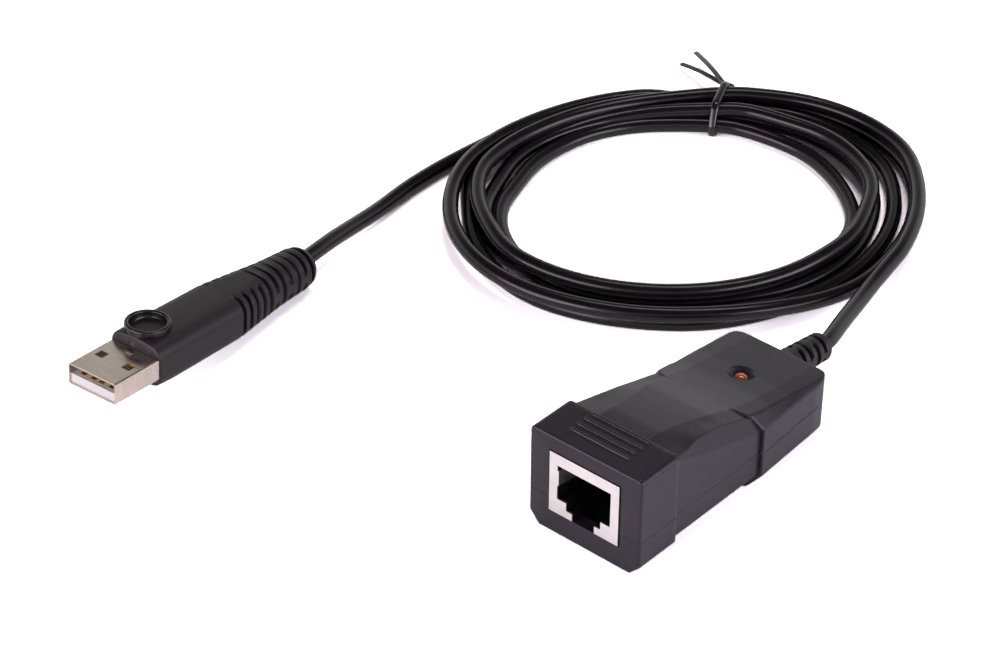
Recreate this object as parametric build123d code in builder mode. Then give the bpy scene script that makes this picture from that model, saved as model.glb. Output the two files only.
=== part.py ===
from build123d import *
from math import cos, hypot, pi, radians, sin, tan
import os

os.makedirs("parts", exist_ok=True)

# Housing: a two part shell, origin under its middle, socket face towards -Y
housing_length = 58.0
wall = 1.6
front_wall = 2.0
seam_height = 7.7
bottom_chamfer = 2.2
block_length = 10.4
block_half = 12.75
block_height = 21.4
block_round = 1.4
block_low_edge = 2.3
rear_corner = 3.4
grip_width = 0.8
grip_half = 7.0
grip_rise = 0.35
grip_first = 3.5
grip_pitch = 1.95
grip_count = 4

# Circuit board and what carries it
board_top = 5.0
board_thickness = 1.6
board_side_gap = 0.35
board_front_gap = 0.4
board_rear_gap = 6.1
post_radius = 2.2
peg_radius = 1.2
peg_clearance = 0.15
peg_rise = 3.2
post_inset = 2.3
post_gap = 0.9
post_front = 4.6
post_back = 3.7
peg_tip_gap = 0.3
lead_hole = 0.45

# Network socket
shield_half = 7.95
shield_height = 13.1
shield_depth = 15.0
shield_proud = 0.2
shield_sheet = 0.3
shield_gap = 0.2
window_half = 6.1
window_top = 10.7
window_bottom = 3.3
key_half = 3.95
key_bottom = 1.6
slot_half = 2.55
insert_gap = 0.05
insert_length = 12.2
insert_back = 1.2
contact_count = 8
contact_pitch = 1.02
contact_width = 0.4
contact_thick = 0.3
contact_slot = 0.6
contact_slot_rise = 0.8
contact_drop = 2.5
contact_reach = 7.6
contact_fold = 2.2
contact_back = 0.35
spring_tab_length = 4.5
spring_tab_height = 4.4
spring_tab_drop = 1.2
spring_tab_in = 0.55

# Lamp
lamp_along = 45.0
lamp_radius = 1.5
lamp_flange = 1.95
lamp_height = 5.2
lamp_flange_height = 1.0
lamp_sink = 0.15
lamp_gap = 0.1
lamp_dish = 2.7
lamp_dish_depth = 1.1
lamp_lead_side = 1.27
lamp_lead_half = 0.25
lamp_lead_tail = 1.0

# Chips and small parts on the board
bridge_along = 26.0
bridge_width = 10.2
bridge_depth = 5.3
bridge_legs = 14
driver_along = 36.5
driver_width = 10.3
driver_depth = 7.5
driver_legs = 8
chip_lift = 0.1
chip_height = 1.75
leg_pitch_fine = 0.65
leg_pitch_wide = 1.27
leg_out = 1.2
leg_thick = 0.2
leg_width_fine = 0.3
leg_width_wide = 0.4
crystal_radius = 1.6
crystal_length = 7.5
crystal_height = 3.4
crystal_along = 19.6
cap_length = 2.0
cap_width = 1.25
cap_height = 0.9
cap_pitch = 2.6
cap_count = 6

# Strain relief
relief_height = 8.6
relief_neck = 2.1
relief_gap = 0.1
relief_flange = 2.6
relief_flange_length = 1.6
relief_tail = 1.8
relief_length = 12.3
relief_root = 3.2
relief_tip = 2.9
relief_droop = 7.0
relief_slot = 1.0
relief_slot_depth = 0.8
relief_slot_first = 2.4
relief_slot_pitch = 2.3
relief_slot_count = 4
relief_web = 0.9

# Cord and its four cores
cord_radius = 1.675
core_radius = 0.55
core_offset = 0.8
core_side = 1.3
core_inset = 1.5
core_bend = 2.0
core_drop = 2.2
lead_straight = 5.0

# Coil of the cord, seen from above
coil_height = 7.0
coil_long = 51.9
coil_short = 45.3
coil_center = (-56.3, 71.4)
hole_long = 34.8
hole_short = 30.2
hole_center = (-58.4, 68.2)
coil_turn = 60.0
coil_round = 2.4

# Tie round the coil
tie_angle = 114.5
tie_width = 1.9
tie_thick = 0.7
tie_gap = 0.15
tie_tail_width = 1.2
tie_knot_height = 3.6
tie_knot = 2.6
tie_floor = 0.08
tie_tips = [(-93.5, 121.9, 1.5), (-92.7, 115.8, 1.5)]

# Plug
plug_mouth = (-91.44, -62.7, 7.75)
plug_yaw = 4.45
plug_pitch = -5.2
usb_width = 12.0
usb_height = 4.5
usb_sheet = 0.3
usb_corner = 0.5
usb_length = 18.0
usb_exposed = 11.9
usb_window = 2.0
usb_window_side = 3.4
usb_window_along = 6.3
usb_latch_width = 1.8
usb_latch_length = 1.2
usb_latch_along = 9.9
tongue_height = 1.85
tongue_start = 0.4
tongue_gap = 0.05
usb_contact_width = 1.1
usb_contact_thick = 0.2
usb_contact_start = 1.2
usb_contact_end = 12.4
usb_contact_places = [-3.5, -1.0, 1.0, 3.5]
body_wide = 12.9
body_tall = 8.9
body_start_wide = 12.6
body_start_tall = 8.2
body_neck = 9.7
body_tip = 9.0
body_end = 6.4
body_length = 49.2
body_shoulder = 4.0
body_straight = 24.0
body_taper = 38.0
body_nose = 3.5
boss_radius = 4.5
boss_along = 4.7
boss_rise = 1.7
dish_radius = 3.6
dish_depth = 1.9
rib_first = 23.6
rib_pitch = 2.3
rib_count = 11
rib_cut = 1.0
rib_depth = 0.65
rib_top_from = 4
rib_web = 7.0
rib_side_web = 2.4
mould_width = 10.6
mould_tall = 6.0
mould_length = 14.0

# Positions that follow from the sizes
front = -housing_length / 2
rear = housing_length / 2
shield_front = front - shield_proud
shield_rear = shield_front + shield_depth
front_inner = front + front_wall
rear_inner = rear - wall
board_bottom = board_top - board_thickness
board_front = front_inner + board_front_gap
board_rear = rear_inner - board_rear_gap

# Housing sections: distance behind the front face, half width, height of the low
# side edge, top of the side, half width and height of the facet's upper edge,
# half width and height of the crown
waist_half = 12.2
waist_low = 2.9
waist_rows = [
    (block_length, waist_half, waist_low, 20.0, 11.9, 20.6, 5.5, 21.3),
    (14.0, waist_half, waist_low, 18.6, 11.5, 20.1, 5.5, 20.95),
    (18.0, waist_half, waist_low, 17.35, 10.6, 19.9, 5.7, 20.3),
    (22.0, waist_half, waist_low, 16.2, 10.3, 19.2, 6.3, 19.6),
    (26.0, waist_half, waist_low, 15.1, 10.2, 18.1, 7.0, 18.8),
    (31.0, waist_half, waist_low, 13.65, 10.5, 16.55, 7.3, 17.35),
    (37.4, waist_half, waist_low, 12.0, 10.9, 14.3, 7.5, 15.3),
]
rear_rows = [
    (29.0, 12.95, 2.5, 13.3, 10.7, 17.35, 7.5, 17.8),
    (35.3, 12.9, 2.5, 13.15, 10.7, 15.85, 7.5, 16.25),
    (40.0, 12.6, 2.4, 13.1, 10.7, 15.0, 7.5, 15.25),
    (46.0, 12.2, 2.3, 13.0, 10.7, 14.15, 7.5, 14.35),
    (housing_length, 11.4, 2.0, 12.3, 10.9, 12.75, 7.5, 12.9),
]

# Front edge of the proud rear part, from the middle outwards
step_line = [(0.0, 29.8), (5.4, 31.0), (9.35, 32.7), (12.9, 35.2), (16.0, 37.6)]


def row_at(rows, along):
    # One section between its two neighbours in the list
    for near, far in zip(rows, rows[1:]):
        if along <= far[0]:
            share = (along - near[0]) / (far[0] - near[0])
            return tuple(a + (b - a) * share for a, b in zip(near, far))
    return rows[-1]


def corners(row, inset):
    # Section corners, each moved inwards by the inset across and upright
    along, half, low, side, facet, facet_top, crown, crown_top = row
    right = [(half - bottom_chamfer, inset), (half, low + inset), (half, side - inset),
             (facet, facet_top - inset), (crown, crown_top - inset)]
    right = [(x - inset, z) for x, z in right]
    return right + [(-x, z) for x, z in reversed(right)]


def lofted(rows, inset):
    # Straight faced solid through a list of sections
    with BuildPart(mode=Mode.PRIVATE) as run:
        for row in rows:
            with BuildSketch(Plane.XZ.offset(-front - row[0])):
                Polygon(*corners(row, inset))
        loft(ruled=True)
    return run.part


def block(inset, start):
    # The square end round the socket, with a rounded top and chamfered foot
    half = block_half - inset
    low = block_low_edge + inset
    top = block_height - inset
    with BuildPart(mode=Mode.PRIVATE) as run:
        with BuildSketch(Plane.XZ.offset(-start)) as face:
            Polygon((half - bottom_chamfer, inset), (half, low), (half, top),
                    (-half, top), (-half, low), (bottom_chamfer - half, inset))
            fillet(face.vertices().group_by(Axis.Y)[-1], block_round)
        extrude(amount=start - front - block_length)
    return run.part


def housing():
    # Hollow housing before it is parted at the seam
    with BuildPart(mode=Mode.PRIVATE) as shell:
        add(lofted(rear_rows, 0.0))
        with BuildSketch(Plane.XY):
            right = [(x, front + along) for x, along in step_line]
            left = [(-x, y) for x, y in right[:0:-1]]
            reach = step_line[-1][0]
            Polygon(*left, *right, (reach, front), (-reach, front))
        extrude(amount=block_height, both=True, mode=Mode.SUBTRACT)
        add(lofted(waist_rows, 0.0))
        add(block(0.0, front))
        with BuildSketch(Plane.XY):
            for side in (-1, 1):
                with Locations((side * (rear_half - rear_corner / 2), rear - rear_corner / 2)):
                    Rectangle(rear_corner + 2 * rear_skin, rear_corner + 2 * rear_skin)
                with Locations((side * (rear_half - rear_corner), rear - rear_corner)):
                    Circle(rear_corner, mode=Mode.SUBTRACT)
                with Locations((side * (rear_half - 1.5 * rear_corner), rear - rear_corner / 2)):
                    Rectangle(rear_corner, 2 * rear_corner + 4 * rear_skin, mode=Mode.SUBTRACT)
        extrude(amount=block_height, both=True, mode=Mode.SUBTRACT)
        add(block(wall, front_inner), mode=Mode.SUBTRACT)
        add(lofted(waist_rows, wall), mode=Mode.SUBTRACT)
        add(lofted(cavity_rows, wall), mode=Mode.SUBTRACT)
        with BuildSketch(Plane.XZ.offset(-front)):
            with Locations((0, board_top + shield_height / 2)):
                Rectangle(2 * (shield_half + shield_gap), shield_height + 2 * shield_gap)
        extrude(amount=-front_wall, mode=Mode.SUBTRACT)
        with BuildSketch(Plane.XZ.offset(-rear)):
            with Locations((0, relief_height)):
                Circle(relief_neck + relief_gap)
        extrude(amount=2 * wall, mode=Mode.SUBTRACT)
    return shell.part


def bar(start, end, width):
    # Corners of a straight strip between two points, with square ends past both
    run = hypot(end[0] - start[0], end[1] - start[1])
    ux, uy = (end[0] - start[0]) / run * width / 2, (end[1] - start[1]) / run * width / 2
    return [(start[0] - ux + uy, start[1] - uy - ux), (end[0] + ux + uy, end[1] + uy - ux),
            (end[0] + ux - uy, end[1] + uy + ux), (start[0] - ux - uy, start[1] - uy + ux)]


def arc_radii(route):
    # Largest arc that the two runs beside each corner leave room for
    radii = []
    for before, corner, after in zip(route, route[1:], route[2:]):
        first = Vector(*corner) - Vector(*before)
        second = Vector(*after) - Vector(*corner)
        turn = radians(first.get_angle(second))
        radii.append(0.45 * min(first.length, second.length) / tan(turn / 2))
    return radii


def cord_tube(route, radius, name):
    # Round tube along straight runs joined by tangent arcs
    radii = arc_radii(route)
    with BuildPart(mode=Mode.PRIVATE) as tube:
        with BuildLine() as line:
            FilletPolyline(*route, radius=radii)
        path = line.wires()[0]
        with BuildSketch(Plane(origin=path @ 0, z_dir=path % 0)):
            Circle(radius)
        sweep(path=path)
    print(name, "arcs", [round(r, 1) for r in radii], "length", round(path.length, 1),
          "fill", round(tube.part.volume / (pi * radius**2 * path.length), 4))
    return tube.part


rear_half = rear_rows[-1][1]
rear_skin = 1.0
cavity_front = row_at(rear_rows, step_line[3][1] + wall)
cavity_rear = row_at(rear_rows, housing_length - wall)
cavity_rows = [cavity_front] + [row for row in rear_rows if cavity_front[0] < row[0] < cavity_rear[0]]
cavity_rows.append(cavity_rear)

# Board width fits between the sloping feet of the side walls
board_half = waist_half - wall - bottom_chamfer * (1 - (board_bottom - wall) / waist_low) - board_side_gap
post_side = board_half - post_inset
post_middle = shield_rear + post_gap + post_radius
post_rear = board_rear - post_back
pegs = [(side * post_side, y) for y in (post_middle, post_rear) for side in (-1, 1)]

lamp_y = front + lamp_along
lamp_top_surface = row_at(rear_rows, lamp_along)[7]
lamp_tip = lamp_top_surface - lamp_sink
lamp_base = lamp_tip - lamp_height

with BuildPart() as upper_shell:
    add(housing())
    split(bisect_by=Plane.XY.offset(seam_height), keep=Keep.TOP)
    with BuildSketch(Plane.XY.offset(block_height)):
        with Locations((0, front + grip_first + grip_pitch * (grip_count - 1) / 2)):
            with GridLocations(0, grip_pitch, 1, grip_count):
                SlotOverall(2 * grip_half, grip_width)
    extrude(amount=grip_rise)
    with BuildSketch(Plane.XY.offset(lamp_top_surface)):
        with Locations((0, lamp_y)):
            Circle(lamp_radius + lamp_gap)
    extrude(amount=-2 * wall, mode=Mode.SUBTRACT)
    with BuildSketch(Plane.XY.offset(lamp_top_surface + lamp_sink)):
        with Locations((0, lamp_y)):
            Circle(lamp_dish)
    with BuildSketch(Plane.XY.offset(lamp_top_surface - lamp_dish_depth)):
        with Locations((0, lamp_y)):
            Circle(lamp_radius + lamp_gap)
    loft(mode=Mode.SUBTRACT)
    for y, rows in ((post_middle, waist_rows), (post_rear, rear_rows)):
        roof = row_at(rows, y - front)[7] - wall / 2
        with BuildSketch(Plane.XY.offset(board_top)):
            with Locations((-post_side, y), (post_side, y)):
                Circle(post_radius)
        extrude(amount=roof - board_top)
    with BuildSketch(Plane.XY.offset(board_top)):
        with Locations(*pegs):
            Circle(peg_radius + peg_clearance)
    extrude(amount=peg_rise + peg_tip_gap, mode=Mode.SUBTRACT)
upper_shell.part.label = "upper_shell"
export_step(upper_shell.part, "parts/upper_shell.step")

with BuildPart() as lower_shell:
    add(housing())
    split(bisect_by=Plane.XY.offset(seam_height), keep=Keep.BOTTOM)
    with BuildSketch(Plane.XY.offset(wall / 2)):
        with Locations(*pegs, (-post_side, front + post_front), (post_side, front + post_front)):
            Circle(post_radius)
    extrude(amount=board_bottom - wall / 2)
    with BuildSketch(Plane.XY.offset(board_bottom)):
        with Locations(*pegs):
            Circle(peg_radius)
    extrude(amount=board_thickness + peg_rise)
lower_shell.part.label = "lower_shell"
export_step(lower_shell.part, "parts/lower_shell.step")

with BuildPart() as circuit_board:
    with BuildSketch(Plane.XY.offset(board_bottom)):
        with Locations((0, (board_front + board_rear) / 2)):
            Rectangle(2 * board_half, board_rear - board_front)
        with Locations(*pegs):
            Circle(peg_radius + peg_clearance, mode=Mode.SUBTRACT)
        with Locations((-lamp_lead_side, lamp_y), (lamp_lead_side, lamp_y)):
            Circle(lead_hole, mode=Mode.SUBTRACT)
    extrude(amount=board_thickness)
circuit_board.part.label = "circuit_board"
export_step(circuit_board.part, "parts/circuit_board.step")

# Sheet metal box round the socket, open below, with the plug window in its face
shield_top = board_top + shield_height
with BuildPart() as rj45_shield:
    with BuildSketch(Plane.XZ.offset(-shield_front)):
        with Locations((0, board_top + shield_height / 2)):
            Rectangle(2 * shield_half, shield_height)
    extrude(amount=-shield_depth)
    with BuildSketch(Plane.XZ.offset(-shield_front - shield_sheet)):
        with Locations((0, board_top + (shield_height - shield_sheet) / 2)):
            Rectangle(2 * (shield_half - shield_sheet), shield_height - shield_sheet)
    extrude(amount=2 * shield_sheet - shield_depth, mode=Mode.SUBTRACT)
    with BuildSketch(Plane.XZ.offset(-shield_front)):
        with Locations((0, board_top + (window_top + window_bottom) / 2)):
            Rectangle(2 * window_half, window_top - window_bottom)
        with Locations((0, board_top + (window_bottom + key_bottom) / 2)):
            Rectangle(2 * key_half, window_bottom - key_bottom)
        with Locations((0, board_top + key_bottom / 2)):
            Rectangle(2 * slot_half, key_bottom)
    extrude(amount=-shield_sheet, mode=Mode.SUBTRACT)
    tab_side = window_half - shield_sheet / 2 - insert_gap / 2
    with BuildSketch(Plane.XY.offset(board_top + window_top - spring_tab_height)):
        Polygon(*bar((-tab_side, shield_front + shield_sheet / 2),
                     (-tab_side + spring_tab_in, shield_front + spring_tab_length), shield_sheet))
        with Locations((-tab_side - shield_sheet / 2, shield_front + shield_sheet / 2)):
            Rectangle(2 * shield_sheet, shield_sheet)
    extrude(amount=spring_tab_height - spring_tab_drop)
rj45_shield.part.label = "rj45_shield"
export_step(rj45_shield.part, "parts/rj45_shield.step")

# Plastic insert with the plug pocket and a channel for each contact
insert_front = shield_front + shield_sheet + insert_gap
insert_half = shield_half - shield_sheet - insert_gap
insert_top = shield_top - shield_sheet - insert_gap
contact_slots = [(i - (contact_count - 1) / 2) * contact_pitch for i in range(contact_count)]
with BuildPart() as rj45_insert:
    with BuildSketch(Plane.XZ.offset(-insert_front)):
        with Locations((0, (board_top + insert_top) / 2)):
            Rectangle(2 * insert_half, insert_top - board_top)
    extrude(amount=-insert_length)
    with BuildSketch(Plane.XZ.offset(-insert_front)):
        with Locations((0, board_top + (window_top + window_bottom) / 2)):
            Rectangle(2 * window_half, window_top - window_bottom)
        with Locations((0, board_top + (window_bottom + key_bottom) / 2)):
            Rectangle(2 * key_half, window_bottom - key_bottom)
        with Locations((0, board_top + key_bottom / 2)):
            Rectangle(2 * slot_half, key_bottom)
    extrude(amount=insert_back - insert_length, mode=Mode.SUBTRACT)
    with BuildSketch(Plane.XZ.offset(-insert_front - contact_fold / 2)):
        with Locations(*[(x, board_top + window_top + contact_slot_rise / 2) for x in contact_slots]):
            Rectangle(contact_slot, contact_slot_rise)
    extrude(amount=-insert_length, mode=Mode.SUBTRACT)
rj45_insert.part.label = "rj45_insert"
export_step(rj45_insert.part, "parts/rj45_insert.step")

# Eight bent spring wires: into the pocket, back along the roof, down to the board
run_height = board_top + window_top + contact_slot_rise / 2
fold_y = insert_front + contact_fold
back_y = insert_front + insert_length + contact_back
with BuildPart() as rj45_contacts:
    with BuildSketch(*[Plane.YZ.offset(x) for x in contact_slots]):
        Polygon(*bar((fold_y + contact_reach, run_height - contact_drop), (fold_y, run_height),
                     contact_thick))
        Polygon(*bar((fold_y, run_height), (back_y, run_height), contact_thick))
        Polygon(*bar((back_y, run_height), (back_y, board_top + contact_thick / 2), contact_thick))
    extrude(amount=contact_width / 2, both=True)
rj45_contacts.part.label = "rj45_contacts"
export_step(rj45_contacts.part, "parts/rj45_contacts.step")

# Two chips, each a moulded body with gull wing legs
chip_middle = board_top + chip_lift + chip_height / 2


def chip_body(y, width, depth):
    with BuildPart(mode=Mode.PRIVATE) as body:
        with BuildSketch(Plane.XY.offset(board_top + chip_lift)):
            with Locations((0, y)):
                Rectangle(width, depth)
        extrude(amount=chip_height)
    return body.part


def chip_legs(y, depth, count, pitch, width):
    bend = leg_out / 2
    planes = [Plane.YZ.offset((i - (count - 1) / 2) * pitch) for i in range(count)]
    with BuildPart(mode=Mode.PRIVATE) as legs:
        for side in (-1, 1):
            with BuildSketch(*planes):
                Polygon(*[(y + side * (depth / 2 + out), height) for out, height in (
                    (0, chip_middle - leg_thick / 2), (0, chip_middle + leg_thick / 2),
                    (bend, chip_middle + leg_thick / 2), (bend, board_top + leg_thick),
                    (leg_out, board_top + leg_thick), (leg_out, board_top),
                    (bend - leg_thick, board_top), (bend - leg_thick, chip_middle - leg_thick / 2))])
            extrude(amount=width / 2, both=True)
    return legs.part


bridge_y = front + bridge_along
driver_y = front + driver_along
with BuildPart() as usb_serial_chip:
    add(chip_body(bridge_y, bridge_width, bridge_depth))
usb_serial_chip.part.label = "usb_serial_chip"
export_step(usb_serial_chip.part, "parts/usb_serial_chip.step")

with BuildPart() as usb_serial_legs:
    add(chip_legs(bridge_y, bridge_depth, bridge_legs, leg_pitch_fine, leg_width_fine))
usb_serial_legs.part.label = "usb_serial_legs"
export_step(usb_serial_legs.part, "parts/usb_serial_legs.step")

with BuildPart() as line_driver_chip:
    add(chip_body(driver_y, driver_width, driver_depth))
line_driver_chip.part.label = "line_driver_chip"
export_step(line_driver_chip.part, "parts/line_driver_chip.step")

with BuildPart() as line_driver_legs:
    add(chip_legs(driver_y, driver_depth, driver_legs, leg_pitch_wide, leg_width_wide))
line_driver_legs.part.label = "line_driver_legs"
export_step(line_driver_legs.part, "parts/line_driver_legs.step")

with BuildPart() as crystal:
    with BuildSketch(Plane.XY.offset(board_top)):
        with Locations((0, front + crystal_along)):
            SlotOverall(crystal_length, 2 * crystal_radius)
    extrude(amount=crystal_height)
crystal.part.label = "crystal"
export_step(crystal.part, "parts/crystal.step")

cap_y = (bridge_y + bridge_depth / 2 + driver_y - driver_depth / 2) / 2
with BuildPart() as capacitors:
    with BuildSketch(Plane.XY.offset(board_top)):
        with Locations((0, cap_y)):
            with GridLocations(cap_pitch, 0, cap_count, 1):
                Rectangle(cap_length, cap_width)
    extrude(amount=cap_height)
capacitors.part.label = "capacitors"
export_step(capacitors.part, "parts/capacitors.step")

with BuildPart() as led_lamp:
    with BuildSketch(Plane.XZ.offset(-lamp_y)):
        with BuildLine():
            shoulder = lamp_base + lamp_flange_height
            Polyline((0, lamp_tip), (0, lamp_base), (lamp_flange, lamp_base), (lamp_flange, shoulder),
                     (lamp_radius, shoulder), (lamp_radius, lamp_tip - lamp_radius))
            RadiusArc((lamp_radius, lamp_tip - lamp_radius), (0, lamp_tip), -lamp_radius)
        make_face()
    revolve(axis=Axis((0, lamp_y, 0), (0, 0, 1)))
led_lamp.part.label = "led_lamp"
export_step(led_lamp.part, "parts/led_lamp.step")

with BuildPart() as led_leads:
    with BuildSketch(Plane.XY.offset(board_bottom - lamp_lead_tail)):
        with Locations((-lamp_lead_side, lamp_y), (lamp_lead_side, lamp_y)):
            Rectangle(2 * lamp_lead_half, 2 * lamp_lead_half)
    extrude(amount=lamp_base - board_bottom + lamp_lead_tail)
led_leads.part.label = "led_leads"
export_step(led_leads.part, "parts/led_leads.step")

# Strain relief: a flange held behind the rear wall and a drooping slotted sleeve
flange_y = rear_inner - relief_flange_length
relief_inner = flange_y - relief_tail
sleeve_start = rear + relief_root * sin(radians(relief_droop)) + relief_gap
droop_dir = (0, cos(radians(relief_droop)), -sin(radians(relief_droop)))
sleeve = Plane(origin=(0, sleeve_start, relief_height), x_dir=(1, 0, 0), z_dir=droop_dir)
with BuildPart() as strain_relief:
    for start, end, radius in ((relief_inner, flange_y, relief_neck), (flange_y, rear_inner, relief_flange),
                               (rear_inner, sleeve_start, relief_neck)):
        with BuildSketch(Plane.XZ.offset(-start)):
            with Locations((0, relief_height)):
                Circle(radius)
        extrude(amount=start - end)
    with BuildSketch(sleeve):
        Circle(relief_root)
    with BuildSketch(sleeve.offset(relief_length)):
        Circle(relief_tip)
    loft()
    for i in range(relief_slot_count):
        with BuildSketch(sleeve.offset(relief_slot_first + i * relief_slot_pitch)):
            Circle(relief_root + relief_slot)
            Circle(relief_tip - relief_slot_depth, mode=Mode.SUBTRACT)
            if i % 2:
                Rectangle(2 * relief_web, 4 * relief_root, mode=Mode.SUBTRACT)
            else:
                Rectangle(4 * relief_root, 2 * relief_web, mode=Mode.SUBTRACT)
        extrude(amount=-relief_slot, mode=Mode.SUBTRACT)
strain_relief.part.label = "strain_relief"
export_step(strain_relief.part, "parts/strain_relief.step")

# Four cores from the relief's inner end down to the board
core_y = board_rear - core_inset
cores = [("core_red", -1, 1), ("core_white", -1, -1), ("core_green", 1, -1), ("core_black", 1, 1)]
for name, side, rise in cores:
    exit_x = side * core_offset
    exit_z = relief_height + rise * core_offset
    pad_x = side * core_side * (3 if rise > 0 else 1)
    bend_z = board_top + core_drop
    route = [(exit_x, relief_inner, exit_z), (exit_x, relief_inner - core_bend, exit_z),
             (pad_x, core_y, bend_z), (pad_x, core_y, board_top)]
    with BuildPart() as core:
        add(cord_tube(route, core_radius, name))
    core.part.label = name
    export_step(core.part, "parts/" + name + ".step")

# Lead from the relief to the coil, and from the coil to the plug
relief_end = sleeve.origin + Vector(*droop_dir) * relief_length
lead_start = (relief_end.X, relief_end.Y, relief_end.Z)
lead_next = relief_end + Vector(*droop_dir) * lead_straight
adapter_route = [lead_start, (lead_next.X, lead_next.Y, lead_next.Z), (-3.1, 54.5, 5.5),
                 (-5.6, 63.5, 4.6), (-8.1, 73.0, 4.4), (-11.0, 82.0, 4.5)]
with BuildPart() as cord_lead_adapter:
    add(cord_tube(adapter_route, cord_radius, "cord_lead_adapter"))
cord_lead_adapter.part.label = "cord_lead_adapter"
export_step(cord_lead_adapter.part, "parts/cord_lead_adapter.step")


def ellipse_reach(center, long, short, angle):
    # Distance from the coil's center to an ellipse along one direction
    direction = radians(angle - coil_turn)
    offset = Vector(coil_center[0] - center[0], coil_center[1] - center[1]).rotate(Axis.Z, -coil_turn)
    a = (cos(direction) / long)**2 + (sin(direction) / short)**2
    b = 2 * (offset.X * cos(direction) / long**2 + offset.Y * sin(direction) / short**2)
    c = (offset.X / long)**2 + (offset.Y / short)**2 - 1
    return (-b + (b * b - 4 * a * c)**0.5) / (2 * a)


tie_out = Vector(cos(radians(tie_angle)), sin(radians(tie_angle)), 0)
tie_side = Vector(-tie_out.Y, tie_out.X, 0)
tie_outer = ellipse_reach(coil_center, coil_long, coil_short, tie_angle)
tie_inner = ellipse_reach(hole_center, hole_long, hole_short, tie_angle)
tie_middle = Vector(*coil_center, 0) + tie_out * (tie_outer + tie_inner) / 2
tie_plane = Plane(origin=tie_middle, x_dir=tie_out, z_dir=-tie_side)
tie_span = tie_outer - tie_inner
loop_height = coil_height + tie_thick - tie_floor
loop_lift = tie_floor + loop_height / 2

with BuildPart() as cord_coil:
    with BuildSketch(Plane.XY):
        with Locations(Location((*coil_center, 0), (0, 0, coil_turn))):
            Ellipse(coil_long, coil_short)
        with Locations(Location((*hole_center, 0), (0, 0, coil_turn))):
            Ellipse(hole_long, hole_short, mode=Mode.SUBTRACT)
    extrude(amount=coil_height)
    fillet(cord_coil.edges().group_by(Axis.Z)[-1], coil_round)
    with BuildSketch(tie_plane):
        Rectangle(2 * tie_span, 2 * coil_round)
        with Locations((0, loop_lift)):
            RectangleRounded(tie_span, loop_height - 2 * (tie_thick + tie_gap), coil_round - tie_thick,
                             mode=Mode.SUBTRACT)
    extrude(amount=tie_width / 2 + tie_gap, both=True, mode=Mode.SUBTRACT)
cord_coil.part.label = "cord_coil"
export_step(cord_coil.part, "parts/cord_coil.step")

# Flat tie: a loop through the notch, a knot outside and two loose tails
knot = tie_middle + tie_out * (tie_span / 2 + tie_gap + tie_thick) + Vector(0, 0, tie_knot_height)
with BuildPart() as cable_tie:
    with BuildSketch(tie_plane):
        with Locations((0, loop_lift)):
            RectangleRounded(tie_span + 2 * (tie_gap + tie_thick), loop_height, coil_round)
            RectangleRounded(tie_span + 2 * tie_gap, loop_height - 2 * tie_thick,
                             coil_round - tie_thick, mode=Mode.SUBTRACT)
    extrude(amount=tie_width / 2, both=True)
    with BuildSketch(Plane(origin=knot, x_dir=tie_side, z_dir=tie_out)):
        RectangleRounded(tie_knot, tie_knot, tie_knot / 4)
    extrude(amount=tie_knot * 0.6)
    for tip in tie_tips:
        root = knot + tie_out * tie_knot / 4
        run = Vector(*tip) - root
        with BuildSketch(Plane(origin=root, x_dir=run.cross(Vector(0, 0, 1)), z_dir=run)):
            Rectangle(tie_tail_width, tie_thick)
        extrude(amount=run.length)
cable_tie.part.label = "cable_tie"
export_step(cable_tie.part, "parts/cable_tie.step")

# Plug directions: across, backwards along the plug, and up
yaw = radians(plug_yaw)
pitch = radians(plug_pitch)
plug_x = Vector(cos(yaw), sin(yaw), 0)
plug_back = Vector(-sin(yaw) * cos(pitch), cos(yaw) * cos(pitch), sin(pitch))
plug_up = plug_x.cross(plug_back)


def across(along, lift=0.0):
    # Plane square to the plug, its normal towards the mouth
    origin = Vector(*plug_mouth) + plug_back * along + plug_up * lift
    return Plane(origin=origin, x_dir=plug_x, z_dir=plug_back * -1)


def above(along, lift):
    # Plane lying along the plug, its normal upwards
    origin = Vector(*plug_mouth) + plug_back * along + plug_up * lift
    return Plane(origin=origin, x_dir=plug_x, z_dir=plug_up)


usb_middle = usb_height / 2
usb_inner_width = usb_width - 2 * usb_sheet
usb_inner_height = usb_height - 2 * usb_sheet
with BuildPart() as usb_shell:
    with BuildSketch(across(0, usb_middle)):
        RectangleRounded(usb_width, usb_height, usb_corner)
        RectangleRounded(usb_inner_width, usb_inner_height, usb_corner - usb_sheet, mode=Mode.SUBTRACT)
    extrude(amount=-usb_length)
    with BuildSketch(above(usb_window_along, usb_middle)):
        with Locations((-usb_window_side, 0), (usb_window_side, 0)):
            Rectangle(usb_window, usb_window)
    extrude(amount=usb_height, both=True, mode=Mode.SUBTRACT)
    with BuildSketch(above(usb_latch_along, usb_middle)):
        Rectangle(usb_latch_width, usb_latch_length)
    extrude(amount=usb_height, mode=Mode.SUBTRACT)
usb_shell.part.label = "usb_shell"
export_step(usb_shell.part, "parts/usb_shell.step")

tongue_width = usb_inner_width - 2 * tongue_gap
tongue_low = usb_sheet + tongue_gap
tongue_top = tongue_low + tongue_height
tongue_block = usb_contact_end + tongue_gap
with BuildPart() as usb_tongue:
    with BuildSketch(across(tongue_start, tongue_low + tongue_height / 2)):
        Rectangle(tongue_width, tongue_height)
    extrude(amount=tongue_start - usb_length)
    with BuildSketch(across(tongue_block, usb_middle)):
        Rectangle(tongue_width, usb_inner_height - 2 * tongue_gap)
    extrude(amount=tongue_block - usb_length)
usb_tongue.part.label = "usb_tongue"
export_step(usb_tongue.part, "parts/usb_tongue.step")

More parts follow.
